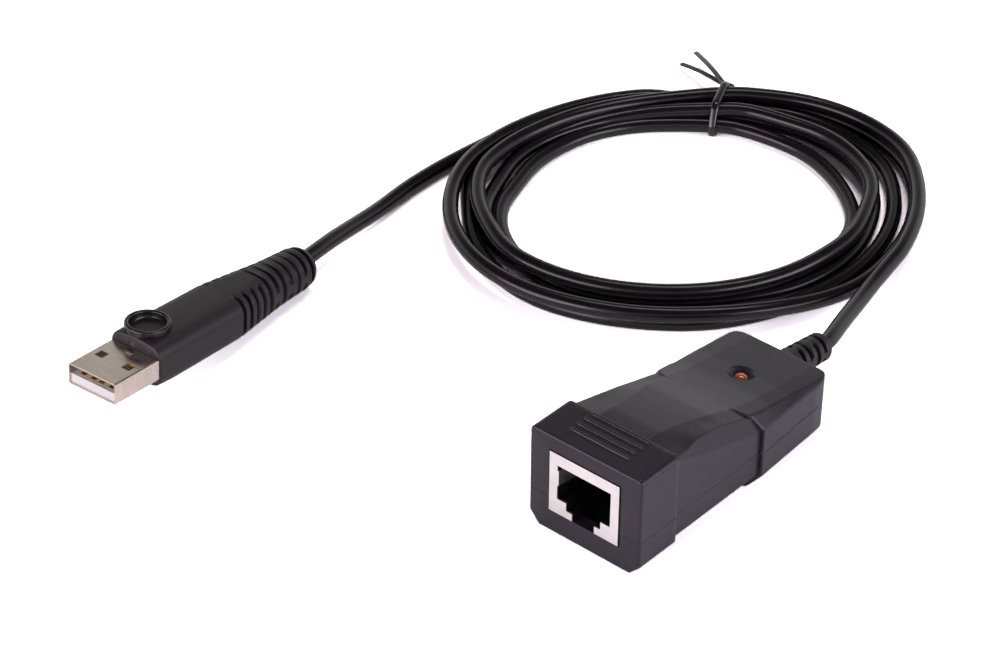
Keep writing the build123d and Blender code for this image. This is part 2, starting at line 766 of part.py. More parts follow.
with BuildPart() as usb_contacts:
    with BuildSketch(above((usb_contact_start + usb_contact_end) / 2, tongue_top)):
        with Locations(*[(x, 0) for x in usb_contact_places]):
            Rectangle(usb_contact_width, usb_contact_end - usb_contact_start)
    extrude(amount=usb_contact_thick)
usb_contacts.part.label = "usb_contacts"
export_step(usb_contacts.part, "parts/usb_contacts.step")

with BuildPart() as plug_core:
    with BuildSketch(across(usb_length, usb_middle)):
        RectangleRounded(mould_width, mould_tall, usb_corner)
    extrude(amount=-mould_length)
plug_core.part.label = "plug_core"
export_step(plug_core.part, "parts/plug_core.step")

body_rows = [
    (0.0, body_start_wide, body_start_tall, 2.2),
    (body_shoulder, body_wide, body_tall, 2.6),
    (body_straight, body_wide, body_tall, 3.0),
    (body_taper, body_neck, body_neck, 4.6),
    (body_length - body_nose, body_tip, body_tip, 4.3),
    (body_length, body_end, body_end, 3.0),
]
with BuildPart() as plug_body:
    for along, wide, tall, corner in body_rows:
        with BuildSketch(across(usb_exposed + along, usb_middle)):
            RectangleRounded(wide, tall, corner)
    loft(ruled=True)
    boss_plane = above(usb_exposed + boss_along, usb_middle + body_tall / 2 + boss_rise)
    with BuildSketch(boss_plane):
        Circle(boss_radius)
    extrude(amount=-1.6 * boss_rise)
    with BuildSketch(boss_plane):
        Circle(dish_radius)
    extrude(amount=-dish_depth, mode=Mode.SUBTRACT)
    for i in range(rib_count):
        along = rib_first + i * rib_pitch
        wide = row_at(body_rows, along)[1]
        tall = row_at(body_rows, along)[2]
        with BuildSketch(across(usb_exposed + along, usb_middle)):
            Rectangle(wide + 2 * rib_cut, tall + 2 * rib_cut)
            RectangleRounded(wide - 2 * rib_depth, tall - 2 * rib_depth,
                             min(wide, tall) / 3, mode=Mode.SUBTRACT)
            if i < rib_top_from or i % 2:
                Rectangle(rib_web, 2 * tall, mode=Mode.SUBTRACT)
            else:
                Rectangle(2 * wide, rib_side_web, mode=Mode.SUBTRACT)
        extrude(amount=-rib_cut, mode=Mode.SUBTRACT)
    with BuildSketch(across(usb_exposed, usb_middle)):
        RectangleRounded(usb_width, usb_height, usb_corner)
    extrude(amount=usb_exposed - usb_length, mode=Mode.SUBTRACT)
    with BuildSketch(across(usb_length, usb_middle)):
        RectangleRounded(mould_width, mould_tall, usb_corner)
    extrude(amount=-mould_length, mode=Mode.SUBTRACT)
plug_body.part.label = "plug_body"
export_step(plug_body.part, "parts/plug_body.step")

body_end_point = across(usb_exposed + body_length, usb_middle).origin
plug_next = body_end_point + plug_back * lead_straight
plug_route = [(body_end_point.X, body_end_point.Y, body_end_point.Z),
              (plug_next.X, plug_next.Y, plug_next.Z), (-99.6, 15.1, 3.9), (-102.1, 27.0, 1.72),
              (-103.4, 38.5, 1.7), (-103.2, 47.5, 1.7), (-102.6, 55.0, 1.72)]
with BuildPart() as cord_lead_plug:
    add(cord_tube(plug_route, cord_radius, "cord_lead_plug"))
cord_lead_plug.part.label = "cord_lead_plug"
export_step(cord_lead_plug.part, "parts/cord_lead_plug.step")
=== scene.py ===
"""Console adapter on a coiled cord: smooth housing, plug, cord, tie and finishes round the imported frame."""
import bmesh
import bpy
import numpy as np
from mathutils import Matrix


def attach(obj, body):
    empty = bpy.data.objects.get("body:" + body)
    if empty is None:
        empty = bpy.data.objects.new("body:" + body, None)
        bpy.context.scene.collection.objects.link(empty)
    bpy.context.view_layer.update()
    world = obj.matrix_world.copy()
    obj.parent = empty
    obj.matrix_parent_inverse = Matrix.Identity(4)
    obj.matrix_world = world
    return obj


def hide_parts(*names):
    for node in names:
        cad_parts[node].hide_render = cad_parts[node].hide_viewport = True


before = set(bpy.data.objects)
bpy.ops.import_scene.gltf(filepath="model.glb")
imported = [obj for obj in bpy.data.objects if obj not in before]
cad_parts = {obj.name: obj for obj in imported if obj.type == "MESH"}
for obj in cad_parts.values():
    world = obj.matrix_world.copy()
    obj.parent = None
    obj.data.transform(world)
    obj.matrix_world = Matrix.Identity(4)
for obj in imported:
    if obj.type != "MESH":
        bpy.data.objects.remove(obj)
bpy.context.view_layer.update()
MM = 0.001


def new_object(name, data):
    """Object with that data, linked into the scene."""
    made = bpy.data.objects.new(name, data)
    bpy.context.collection.objects.link(made)
    return made


def pose(x_axis, y_axis, z_axis, place):
    """Matrix with those axes and that place in metres."""
    columns = np.eye(4)
    columns[:3] = np.stack([x_axis, y_axis, z_axis, place], 1)
    return Matrix(columns.tolist())


# ---------------------------------------------------------------- camera

# Azimuth, pitch and roll in degrees; the focal length is three times the picture's width
CAMERA_ANGLES = (41.090, 35.029, 0.490)
CAMERA_PLACE = np.array([261.85, -352.25, 339.47])
SENSOR_WIDTH = 36.0
FOCAL_LENGTH = 108.0

azimuth, pitch, roll = np.radians(CAMERA_ANGLES)
forward = np.array([-np.sin(azimuth) * np.cos(pitch), np.cos(azimuth) * np.cos(pitch), -np.sin(pitch)])
level_right = np.array([np.cos(azimuth), np.sin(azimuth), 0.0])
level_up = np.cross(level_right, forward)
camera_data = bpy.data.cameras.new("camera")
camera_data.sensor_fit = "HORIZONTAL"
camera_data.sensor_width = SENSOR_WIDTH
camera_data.lens = FOCAL_LENGTH
camera_data.clip_end = 50.0
camera = new_object("camera", camera_data)
camera.matrix_world = pose(level_right * np.cos(roll) + level_up * np.sin(roll),
                           level_up * np.cos(roll) - level_right * np.sin(roll), -forward, CAMERA_PLACE * MM)
bpy.context.scene.camera = camera


# ---------------------------------------------------------------- cord

CORD_RADIUS = 1.675
COIL_MIDDLE = (-57.3, 70.1)
COIL_RADIUS = 40.7
COIL_OVAL = 3.2
COIL_OVAL_TURN = 120
SEEN_HEIGHT = 3.2
SIGHT_SHIFT = (1.075, 0.937)
SPLINE_CUT = 1.0086
COIL_ANGLES = np.array([15, 30, 45, 60, 75, 90, 105, 114.5, 135, 150, 165, 180, 195, 210, 225, 240, 255,
                        270, 285, 300, 315, 330, 345, 360])
# How far each turn lies out from the coil's mean line, as seen at that one height, one row a turn
TURN_OUT = [
    [7.1, 6.3, 6.55, 8.2, 7.6, 6.4, 4.0, 2.9, 0.6, 0.3, 0.1, -0.4, -0.3, 0.0, -1.6, -2.8, -2.0, -2.6, -2.9,
     -2.9, -2.7, -2.7, -2.9, -3.5],
    [-3.3, -4.0, -2.7, -3.0, -3.2, -4.2, -3.0, -4.2, -4.2, -4.2, -4.0, -3.8, -3.9, -4.8, -3.0, -1.5, -1.6,
     -2.2, -2.4, -2.2, -2.1, -2.0, -2.2, -3.0],
    [-3.4, -5.3, -8.3, -10.1, -10.4, -10.7, -9.7, -9.7, -9.0, -7.9, -7.5, -8.0, -8.3, -8.7, -6.2, -4.2,
     -2.2, -0.2, 0.8, 1.0, 1.2, 1.3, 1.8, 1.0],
    [-0.4, -2.2, -2.7, -3.2, -3.6, -4.6, -5.2, -6.4, -2.9, -0.5, 0.9, 1.5, 1.7, 1.9, 0.2, 1.9, 4.2, 6.3,
     7.0, 7.5, 8.2, 7.5, 6.2, 4.9],
    [3.4, 2.2, 1.7, 2.1, 1.0, 0.8, -0.9, -3.1, 2.8, 3.1, 2.9, 2.8, 3.2, 3.9, 4.0, 4.6, 5.2, 5.3, 4.9, 5.0,
     5.3, 6.3, 8.0, 8.5],
    [7.0, 6.3, 6.4, 6.9, 6.0, 4.6, 2.4, 0.4, 1.9, 3.0, 3.0, 3.4],
]
# Height of each turn's middle at the same angles
TURN_HEIGHT = [
    [5.1, 5.05, 5.05, 5.05, 5.05, 5.05, 5.2, 5.6, 5.2, 5.0, 4.95, 4.9, 4.9, 4.9, 4.9, 5.0, 4.9, 4.9, 5.0,
     5.0, 5.0, 5.0, 5.0, 5.0],
    [5.0, 5.05, 5.05, 5.0, 5.0, 5.05, 5.2, 5.4, 4.4, 3.4, 2.6, 2.1, 1.8, 1.7, 1.7, 2.2, 3.1, 2.5, 1.7, 1.7,
     1.7, 1.7, 1.7, 1.7],
    [1.7, 1.7, 1.7, 1.7, 1.7, 1.8, 2.2, 2.5, 2.1, 1.8, 1.7, 1.7, 1.7, 1.7, 1.7, 1.7, 1.7, 1.7, 1.7, 1.75,
     1.75, 1.75, 1.7, 1.7],
    [1.7, 1.7, 1.7, 1.7, 1.7, 1.8, 2.2, 2.5, 2.0, 1.7, 1.7, 1.7, 1.7, 1.7, 1.7, 1.7, 1.7, 1.7, 1.7, 1.7,
     1.7, 1.7, 1.7, 1.7],
    [1.7, 1.7, 1.7, 1.7, 1.7, 1.8, 2.2, 2.5, 4.2, 4.7, 4.9, 4.9, 5.0, 4.9, 4.6, 4.6, 4.7, 4.8, 4.8, 4.7,
     4.6, 4.2, 3.0, 1.8],
    [1.7, 1.7, 1.7, 1.7, 1.7, 1.8, 2.2, 2.5, 1.9, 1.7, 1.7, 1.7],
]
LEAD_FROM_ADAPTER = [(0.0, 40.9, 7.2), (0.0, 43.2, 6.95), (-0.7, 46.2, 6.7), (-2.7, 52.6, 6.0),
                     (-4.7, 60.0, 5.2), (-6.6, 67.3, 4.85), (-8.2, 75.0, 4.95)]
LEAD_TO_PLUG = [(-103.2, 50.5, 1.7), (-103.25, 42.0, 1.7), (-102.9, 35.0, 1.7), (-101.5, 26.5, 1.95),
                (-100.2, 18.6, 2.85), (-98.7, 10.5, 4.1), (-97.3, 4.0, 4.9), (-96.45, -0.3, 5.25),
                (-96.2, -1.75, 5.36), (-96.1, -2.9, 5.45)]


def turn_points(out, height):
    """Points of one turn. The radius is the coil's mean radius, plus its oval, which goes with the cosine of
    twice the angle less the oval's turn, plus the seen offset, moved along the line of sight to the strand's
    own height. The small factor makes up for the spline's cut inside its control points."""
    out, height = np.array(out), np.array(height)
    turn = np.radians(COIL_ANGLES[:len(out)])
    sight = SIGHT_SHIFT[0] * np.sin(turn) - SIGHT_SHIFT[1] * np.cos(turn)
    oval = COIL_OVAL * np.cos(2 * turn - np.radians(COIL_OVAL_TURN))
    reach = (COIL_RADIUS + oval + out + sight * (SEEN_HEIGHT - height)) * SPLINE_CUT
    x = COIL_MIDDLE[0] + reach * np.cos(turn)
    y = COIL_MIDDLE[1] + reach * np.sin(turn)
    return np.stack([x, y, height], 1)


turns = [turn_points(out, height) for out, height in zip(TURN_OUT, TURN_HEIGHT)]
route = np.concatenate([LEAD_FROM_ADAPTER, *turns, LEAD_TO_PLUG]) * MM
cord_curve = bpy.data.curves.new("cord", "CURVE")
cord_curve.dimensions = "3D"
spline = cord_curve.splines.new("NURBS")
spline.points.add(len(route) - 1)
spline.points.foreach_set("co", np.c_[route, np.ones(len(route))].ravel())
spline.order_u = 3
spline.use_endpoint_u = True
spline.resolution_u = 6
cord_curve.bevel_depth = CORD_RADIUS * MM
cord_curve.bevel_resolution = 6
cord_curve.use_fill_caps = True
cord = new_object("cord", cord_curve)


# ---------------------------------------------------------------- shaping

# A round takes no more than this share of a side
MOST_OF_SIDE = 0.48


def mesh_piece(name, grids, sharp=38):
    """Quads over each grid of points, rows by columns, in millimetres; the last column joins the first."""
    places, faces, start = [], [], 0
    for grid in grids:
        rows, columns = grid.shape[:2]
        index = start + np.arange(rows * columns).reshape(rows, columns)
        index = np.concatenate([index, index[:, :1]], 1)
        quads = [index[:-1, :-1], index[:-1, 1:], index[1:, 1:], index[1:, :-1]]
        faces.append(np.stack(quads, -1).reshape(-1, 4))
        places.append(grid.reshape(-1, 3) * MM)
        start += rows * columns
    mesh = bpy.data.meshes.new(name)
    mesh.from_pydata(np.concatenate(places), [], np.concatenate(faces))
    tidy_mesh(mesh)
    mesh.shade_smooth()
    mesh.set_sharp_from_angle(angle=np.radians(sharp))
    return new_object(name, mesh)


def tidy_mesh(mesh):
    """Poles and joins merged, and every face turned outwards."""
    work = bmesh.new()
    work.from_mesh(mesh)
    bmesh.ops.remove_doubles(work, verts=work.verts, dist=1e-6)
    bmesh.ops.dissolve_degenerate(work, edges=work.edges, dist=1e-7)
    bmesh.ops.recalc_face_normals(work, faces=work.faces)
    work.to_mesh(mesh)
    work.free()


def columns_plan(rounds, runs, closed):
    """Each column's corner, its share of the way round it or along the run after it, and if it is on one."""
    which, share, on_run = [], [], []
    for corner, (steps, places) in enumerate(zip(rounds, runs)):
        arcs = np.linspace(0, 1, steps) if steps > 1 else [0.5]
        straight = places if closed or corner < len(rounds) - 1 else []
        which += [corner] * (len(arcs) + len(straight))
        share += [*arcs, *straight]
        on_run += [False] * len(arcs) + [True] * len(straight)
    return np.array(which), np.array(share), np.array(on_run)


def rounded(corners, radii, plan):
    """Outline with rounded corners, for corners given at every row and column. On a corner the point runs
    along the circle's arc that touches both sides, as a rational quadratic curve weighted by the cosine of
    half the turn. On a run it lies straight between one round's end and the next one's start."""
    which, share, on_run = plan
    here = np.arange(len(which))
    back, ahead = np.roll(corners, 1, axis=-2) - corners, np.roll(corners, -1, axis=-2) - corners
    back_length = np.linalg.norm(back, axis=-1, keepdims=True) + 1e-9
    ahead_length = np.linalg.norm(ahead, axis=-1, keepdims=True) + 1e-9
    back, ahead = back / back_length, ahead / ahead_length
    half_turn = (np.pi - np.arccos(np.clip((back * ahead).sum(-1, keepdims=True), -1, 1))) / 2
    trim = np.minimum(np.array(radii)[..., None] * np.tan(half_turn),
                      MOST_OF_SIDE * np.minimum(back_length, ahead_length))
    start, end = corners + back * trim, corners + ahead * trim
    t = share[None, :, None]
    a, b, c = start[:, here, which], corners[:, here, which], end[:, here, which]
    pull = 2 * np.cos(half_turn)[:, here, which] * t * (1 - t)
    arc = ((1 - t)**2 * a + pull * b + t**2 * c) / ((1 - t)**2 + pull + t**2)
    following = (which + 1) % corners.shape[-2]
    run = (1 - t) * c + t * start[:, here, following]
    return np.where(on_run[None, :, None], run, arc)


def soft_step(value, low, high):
    """0 below low, 1 above high, and three t squared less two t cubed between."""
    t = np.clip((value - low) / (high - low), 0, 1)
    return t * t * (3 - 2 * t)


def trench(value, edges):
    """1 between the two inner edges and 0 outside the two outer ones, with soft steps between."""
    return soft_step(value, edges[0], edges[1]) * (1 - soft_step(value, edges[2], edges[3]))


def lathe(profile, middle, axis, side, steps=72):
    """Profile of radius and height turned round an axis through the middle."""
    axis, side = np.array(axis) / np.linalg.norm(axis), np.array(side) / np.linalg.norm(side)
    other = np.cross(axis, side)
    turn = np.linspace(0, 2 * np.pi, steps, endpoint=False)
    ring = np.cos(turn)[:, None] * side + np.sin(turn)[:, None] * other
    radius, height = np.array(profile, float).T
    return np.array(middle) + radius[:, None, None] * ring + height[:, None, None] * axis


def carried(profile, path, side):
    """Profile of width and thickness carried square to a path; side is the direction of its width."""
    path = np.asarray(path, float)
    along = np.gradient(path, axis=0)
    along /= np.linalg.norm(along, axis=1, keepdims=True)
    side = side - (side * along).sum(1, keepdims=True) * along
    side /= np.linalg.norm(side, axis=1, keepdims=True)
    thick = np.cross(along, side)
    profile = np.asarray(profile, float)
    grid = path[:, None] + profile[None, :, :1] * side[:, None] + profile[None, :, 1:] * thick[:, None]
    caps = [np.broadcast_to(grid[end].mean(0), grid[end].shape)[None] for end in (0, -1)]
    return np.concatenate([caps[0], grid, caps[1]])


# ---------------------------------------------------------------- housing

HALF_LENGTH = 29.0
SEAM = 7.7
SEAM_GAP = 0.03
SEAM_LIP = 0.15
CHAMFER = 2.2
FRONT_ROUND = 0.45
BLOCK_END = 10.4
WAIST_END = 37.4
REAR_END = 58.0
REAR_ROUND = 0.55
REAR_CORNER = 3.4
REAR_LIMIT = 8.0
CORD_HOLE = 2.25
CORD_HOLE_DEPTH = 1.5
RELIEF_HEIGHT = 8.6
LAMP_ALONG = 45.0
DISH = 2.7
DISH_DEPTH = 1.15
DISH_PATCH = 4.05
DISH_PITCH = 0.45
# The inner wall's distance from the seam line and along the housing, as shares of the skin's
WALL_SHARE = 0.925
WALL_SHARE_AT_HOLES = 1.1
WALL_SHARE_ALONG = 0.97
# The recess behind the socket's edge: half width, foot, top, depth, and the half width of its flat top
HOLE = (8.15, 4.8, 18.3)
HOLE_DEPTH = 12.0
HOLE_CROWN = 5.5
# Sizes of a section: half width, low edge, side top, facet half and top, crown half and top. Each row of
# the waist and the rear starts with its distance behind the front.
LOW_EDGE = 1
BLOCK = (12.75, 2.3, 20.75, 12.1, 21.4, 5.5, 21.4)
WAIST = np.array([
    (10.4, 12.2, 2.9, 20.0, 11.9, 20.6, 5.5, 21.3), (14.0, 12.2, 2.9, 18.6, 11.5, 20.1, 5.5, 20.95),
    (18.0, 12.2, 2.9, 17.35, 10.6, 19.9, 5.7, 20.3), (22.0, 12.2, 2.9, 16.2, 10.3, 19.2, 6.3, 19.6),
    (26.0, 12.2, 2.9, 15.1, 10.2, 18.1, 7.0, 18.8), (31.0, 12.2, 2.9, 13.65, 10.5, 16.55, 7.3, 17.35),
    (37.4, 12.2, 2.9, 12.0, 10.9, 14.3, 7.5, 15.3)])
REAR = np.array([
    (29.0, 12.95, 2.5, 13.3, 10.7, 17.35, 7.5, 17.8), (35.3, 12.9, 2.5, 13.15, 10.7, 15.85, 7.5, 16.25),
    (40.0, 12.6, 2.4, 13.1, 10.7, 15.0, 7.5, 15.25), (46.0, 12.2, 2.3, 13.0, 10.7, 14.15, 7.5, 14.35),
    (58.0, 11.4, 2.0, 12.3, 10.9, 12.75, 7.5, 12.9)])
# The step from waist to rear: distance from the middle, and distance behind the front
STEP_LINE = np.array([(0, 29.8), (5.4, 31.0), (9.35, 32.7), (12.9, 35.2), (16.0, 37.6)])
STEP_SECTION = 34.0
# Half of the flat run across the crown, as the lamp's columns are measured on it
CROWN_RUN = 7.38


def looked_up(rows, d):
    """The seven sizes of a section at each distance, straight between the two nearest rows."""
    return [np.interp(d, rows[:, 0], rows[:, i]) for i in range(1, 8)]


def hole_sizes(d, inset):
    """Sizes of the socket's recess, the same at every distance."""
    half, low, top = HOLE
    return [np.full(d.shape, value) for value in (half, low, top, 0.9 * half, top, HOLE_CROWN, top)]


def block_sizes(d, inset):
    """Sizes of the square block, the same at every distance."""
    return [np.full(d.shape, value) for value in BLOCK]


def waist_sizes(d, inset):
    """Sizes of the sloping waist."""
    return looked_up(WAIST, d)


def rear_sizes(d, inset):
    """Sizes of the rear part. Where the waist still runs on, each size is at least the waist's, and the low
    edge is the lower of the two."""
    sizes = []
    for number, (rear, waist) in enumerate(zip(looked_up(REAR, d), looked_up(WAIST, d))):
        least = np.where(d < WAIST_END, waist + inset, 0)
        sizes.append(np.minimum(rear, waist) if number == LOW_EDGE else np.maximum(rear, least))
    return sizes


def rear_limit(d):
    """Half width that the rear corners leave: a quarter circle in front of the end."""
    return REAR_LIMIT + np.sqrt(np.maximum(REAR_CORNER**2 - np.maximum(d - REAR_END + REAR_CORNER, 0)**2, 0))


def section(sizes, inset, upper):
    """Corners of the half section above or below the seam, moved in by the inset, right to left above and
    left to right below."""
    half, low, side, facet, facet_top, crown, crown_top = sizes
    half = half - inset
    level = np.zeros_like(half)
    edge, lip = (SEAM + SEAM_GAP, SEAM_LIP) if upper else (SEAM - SEAM_GAP, -SEAM_LIP)
    one_side = [(half - SEAM_LIP, level + edge), (half, level + edge + lip)]
    if upper:
        one_side += [(half, side - inset), (facet - inset, facet_top - inset),
                     (crown - inset, crown_top - inset)]
    else:
        one_side += [(half, low + inset), (half - CHAMFER, level + inset)]
    both = one_side + [(-x, z) for x, z in reversed(one_side)]
    return np.stack([np.stack(corner, -1) for corner in both], -2)


def lamp_dish(points):
    """Round dish for the lamp. Inside a square patch the grid is pulled from squares to circles, each point
    moved to its square's half side as radius, easing off towards the patch's edge. Then a cone goes down
    over the dish's outer millimetre."""
    u, v = points[..., 0], points[..., 1] - (LAMP_ALONG - HALF_LENGTH)
    square, circle = np.maximum(abs(u), abs(v)), np.hypot(u, v) + 1e-9
    ease = np.clip((DISH_PATCH - square) / (DISH_PATCH - DISH), 0, 1)
    pull = 1 + ease * (square / circle - 1)
    u, v = u * pull, v * pull
    top = np.interp(v + LAMP_ALONG, REAR[:, 0], REAR[:, -1])
    cone = DISH_DEPTH * np.clip(DISH - np.hypot(u, v), 0, 1)
    dished = np.stack([u, v + LAMP_ALONG - HALF_LENGTH, top - cone], -1)
    return np.where((square < DISH_PATCH)[..., None], dished, points)


def housing_half(upper):
    """Skin of half the housing: in from the socket's recess, round the front edge, along the square block,
    the sloping waist, up the step to the rear part, and round the rear corners to the cord's hole."""
    lamp_steps = np.arange(-9, 10) * DISH_PITCH
    if upper:
        across = np.concatenate([[7.2, 6.2, 5.0], -lamp_steps, [-5.0, -6.2, -7.2]])
        rounds = [1, 3, 6, 6, 5, 5, 6, 6, 3, 1]
        radii = [0, 0.1, 0.9, 0.9, 1.0, 1.0, 0.9, 0.9, 0.1, 0]
        side, slope, facet = [0.03, 0.5, 0.97], [0.06, 0.94], [0.05, 0.5, 0.95]
        runs = [[], side, slope, facet, (1 - across / CROWN_RUN) / 2, facet, slope, side, [], []]
    else:
        rounds = [1, 3, 5, 5, 5, 5, 3, 1]
        radii = [0, 0.1, 0.5, 0.5, 0.5, 0.5, 0.1, 0]
        side, slope = [0.04, 0.5, 0.96], [0.06, 0.94]
        runs = [[], side, slope, np.linspace(0.02, 0.98, 9), slope, side, [], []]
    plan = columns_plan(rounds, runs, closed=False)
    count = len(plan[0])

    def rows_of(d, inset, sizes_at, widest=None):
        """Rows of points at each distance behind the front, drawn in by the inset."""
        d = np.broadcast_to(np.asarray(d, float).reshape(len(d), -1), (len(d), count))
        inset = np.broadcast_to(np.asarray(inset, float).reshape(-1, 1), d.shape)
        flat = rounded(section(sizes_at(d, inset), inset, upper), radii, plan)
        if widest is not None:
            flat[..., 0] = np.clip(flat[..., 0], -widest(d), widest(d))
        return np.stack([flat[..., 0], d - HALF_LENGTH, flat[..., 1]], -1)

    level = np.zeros((1, count))
    outline = rounded(section(looked_up(REAR, level + STEP_SECTION), level, upper), radii, plan)[0]
    step = np.interp(abs(outline[:, 0]), STEP_LINE[:, 0], STEP_LINE[:, 1])
    recess = rows_of([HOLE_DEPTH, 0.3, 0.0], 0, hole_sizes)
    if not upper:
        recess = hole_outline(recess, plan, radii)
    recess[-1, :, 0] *= 1.015
    turn = np.radians([0, 25, 50, 70, 90])
    front_edge = rows_of(FRONT_ROUND * (1 - np.cos(turn)), FRONT_ROUND * (1 - np.sin(turn)), block_sizes)
    block = rows_of([0.7, 3.0, 6.0, 9.3, 10.2, 10.37], [0, 0, 0, 0, 0, 0.05], block_sizes)
    share = np.linspace(0, 1, 26)[:, None]
    waist = rows_of(BLOCK_END + share * (step - BLOCK_END), 0, waist_sizes)
    rise = rows_of(step + np.array([0.03, 0.12, 0.3])[:, None], [0.2, 0.05, 0], rear_sizes)
    share = np.array([0.05, 0.15, 0.3, 0.5, 0.7, 0.85])[:, None]
    rear_front = rows_of(step + share * (LAMP_ALONG - DISH_PATCH - step), 0, rear_sizes)
    rear_rows = rows_of(np.concatenate([LAMP_ALONG + lamp_steps, [50.5, 52.0, 53.5]]), 0, rear_sizes)
    turn = np.radians([0, 12, 24, 36, 48, 57])
    corner_rows = rows_of(REAR_END - REAR_CORNER * (1 - np.sin(turn)), 0, rear_sizes, rear_limit)
    turn = np.radians([15, 35, 55, 75, 90])
    end_rows = rows_of(REAR_END - REAR_ROUND * (1 - np.sin(turn)), REAR_ROUND * (1 - np.cos(turn)),
                       rear_sizes, rear_limit)
    below = np.arcsin((SEAM - RELIEF_HEIGHT) / CORD_HOLE)
    first, sweep = (below, np.pi - 2 * below) if upper else (np.pi - below, np.pi + 2 * below)
    turn = first + np.linspace(0, 1, count) * sweep
    neck = np.stack([CORD_HOLE * np.cos(turn), np.full(count, REAR_END - HALF_LENGTH),
                     RELIEF_HEIGHT + CORD_HOLE * np.sin(turn)], -1)
    end = [end_rows[-1] * 0.5 + neck * 0.5, neck, neck - [0, CORD_HOLE_DEPTH, 0]]
    grid = np.concatenate([recess, front_edge, block, waist, rise, rear_front, rear_rows, corner_rows,
                           end_rows, end])
    return walled(lamp_dish(grid) if upper else grid)


def walled(skin):
    """Skin with its inner wall, joined along the seam. Every point is drawn in towards the seam's middle
    line, and at the socket's recess and the cord's hole away from it, so that the wall stays in the solid."""
    share = np.full((len(skin), 1), WALL_SHARE)
    share[[0, 1, 2, -2, -1]] = WALL_SHARE_AT_HOLES
    line = np.array([0.0, 0.0, SEAM])
    factors = np.stack([share, np.full_like(share, WALL_SHARE_ALONG), share], -1)
    inner = line + (skin - line) * factors
    return np.concatenate([skin, inner[:, ::-1]], 1)


def hole_outline(recess, plan, radii):
    """Lower part of the socket's recess: down one side, across and up the other."""
    half, low, _ = HOLE
    edge = SEAM - SEAM_GAP
    one_side = [(half, edge), (half, edge - SEAM_LIP), (half, low), (half - 0.6, low)]
    both = np.array(one_side + [(-x, z) for x, z in reversed(one_side)])
    corners = np.broadcast_to(both, (1, recess.shape[1], *both.shape))
    flat = rounded(corners, np.array(radii) * 0.2, plan)[0]
    recess[..., 0], recess[..., 2] = flat[:, 0], flat[:, 1]
    return recess


housing_top = mesh_piece("housing_top", [housing_half(True)])
housing_base = mesh_piece("housing_base", [housing_half(False)])


GRIP_STARTS = (3.5, 5.45, 7.4, 9.35)
GRIP_MIDDLE = 0.4
GRIP_HALF_WIDTH = 7.0
GRIP_HALF = 0.42
GRIP_RISE = 0.42
GRIP_FOOT = 21.1
GRIP_EDGE = 21.33


def grip_bar(d):
    """Raised grip bar across the block's top: an oval hump across, fading at both ends."""
    s, t = np.meshgrid(np.linspace(-1, 1, 41), np.linspace(-1, 1, 15), indexing="ij")
    ends = np.sqrt(np.clip(1 - abs(s)**14, 0, 1))
    x = GRIP_HALF_WIDTH * s
    y = d - HALF_LENGTH + GRIP_HALF * t * (0.35 + 0.65 * ends)
    z = GRIP_EDGE + GRIP_RISE * ends * np.clip(1 - abs(t)**2.6, 0, 1)**0.6
    top = np.stack([x, y, z], -1)
    foot = np.stack([x, y, np.full_like(z, GRIP_FOOT)], -1)
    return np.concatenate([top, foot[:, ::-1]], 1)


grip = mesh_piece("grip_bars", [grip_bar(start + GRIP_MIDDLE) for start in GRIP_STARTS], sharp=60)


# ---------------------------------------------------------------- lamp lens

LENS_TOP = (0, LAMP_ALONG - HALF_LENGTH, 14.15)
LENS_RADIUS = 1.5
LENS_DOME = 1.2
LENS_FOOT = 3.0

quarter = np.radians(np.linspace(0, 90, 13))
lens_profile = [(LENS_RADIUS, -LENS_FOOT), (LENS_RADIUS, -LENS_DOME)]
lens_profile += [(LENS_RADIUS * np.cos(a), -LENS_DOME + LENS_DOME * np.sin(a)) for a in quarter[1:]]
lens = mesh_piece("lamp_dome", [lathe(lens_profile, LENS_TOP, (0, 0, 1), (1, 0, 0), 48)])


# ---------------------------------------------------------------- strain relief

RELIEF_START = np.array([0.0, 29.0, 8.66])
DROOP = np.array([0.0, 0.99255, -0.12187])
RELIEF_ROOT = 3.2
RELIEF_FALL = 0.3
RELIEF_FLARE = 0.35
RELIEF_LENGTH = 12.8
RELIEF_MOUTH = 12.72
SLOT_COUNT = 4
SLOT_FIRST = 2.9
SLOT_PITCH = 2.3
SLOT_DEPTH = 0.85
SLOT_EDGES = np.array([0, 0.22, 0.9, 1.12])


def relief_grid():
    """Tapered sleeve with staggered slots. The radius falls evenly along the axis from a flare at the root to
    a round at the tip. Each slot takes its depth off it, except at two webs, which stand up and down on even
    slots and left and right on odd ones."""
    along = np.concatenate([[-1.0, 0.0, 0.4], np.arange(0.8, 12.6, 0.16), [12.7]])
    turn = np.linspace(0, 2 * np.pi, 64, endpoint=False)
    a, t = np.meshgrid(along, turn, indexing="ij")
    radius = RELIEF_ROOT - RELIEF_FALL * np.clip(a / RELIEF_LENGTH, 0, 1)
    radius += RELIEF_FLARE * soft_step(-a, -1.6, 0.0)
    radius -= 0.45 * np.clip((a - 12.1) / 0.6, 0, 1)**2
    for number in range(SLOT_COUNT):
        slot = trench(a, SLOT_FIRST + SLOT_PITCH * number + SLOT_EDGES)
        across = abs(np.sin(t)) if number % 2 else abs(np.cos(t))
        radius -= SLOT_DEPTH * slot * soft_step(across, 0.16, 0.34)
    side, upright = np.array([1.0, 0, 0]), np.cross([1.0, 0, 0], DROOP)
    ring = np.cos(t)[..., None] * side + np.sin(t)[..., None] * upright
    grid = RELIEF_START + a[..., None] * DROOP + radius[..., None] * ring
    mouth = RELIEF_START + RELIEF_MOUTH * DROOP + 1.5 * ring[-1]
    return np.concatenate([grid, [mouth, mouth - 1.2 * DROOP]])


relief = mesh_piece("cord_relief", [relief_grid()], sharp=50)


# ---------------------------------------------------------------- plug body

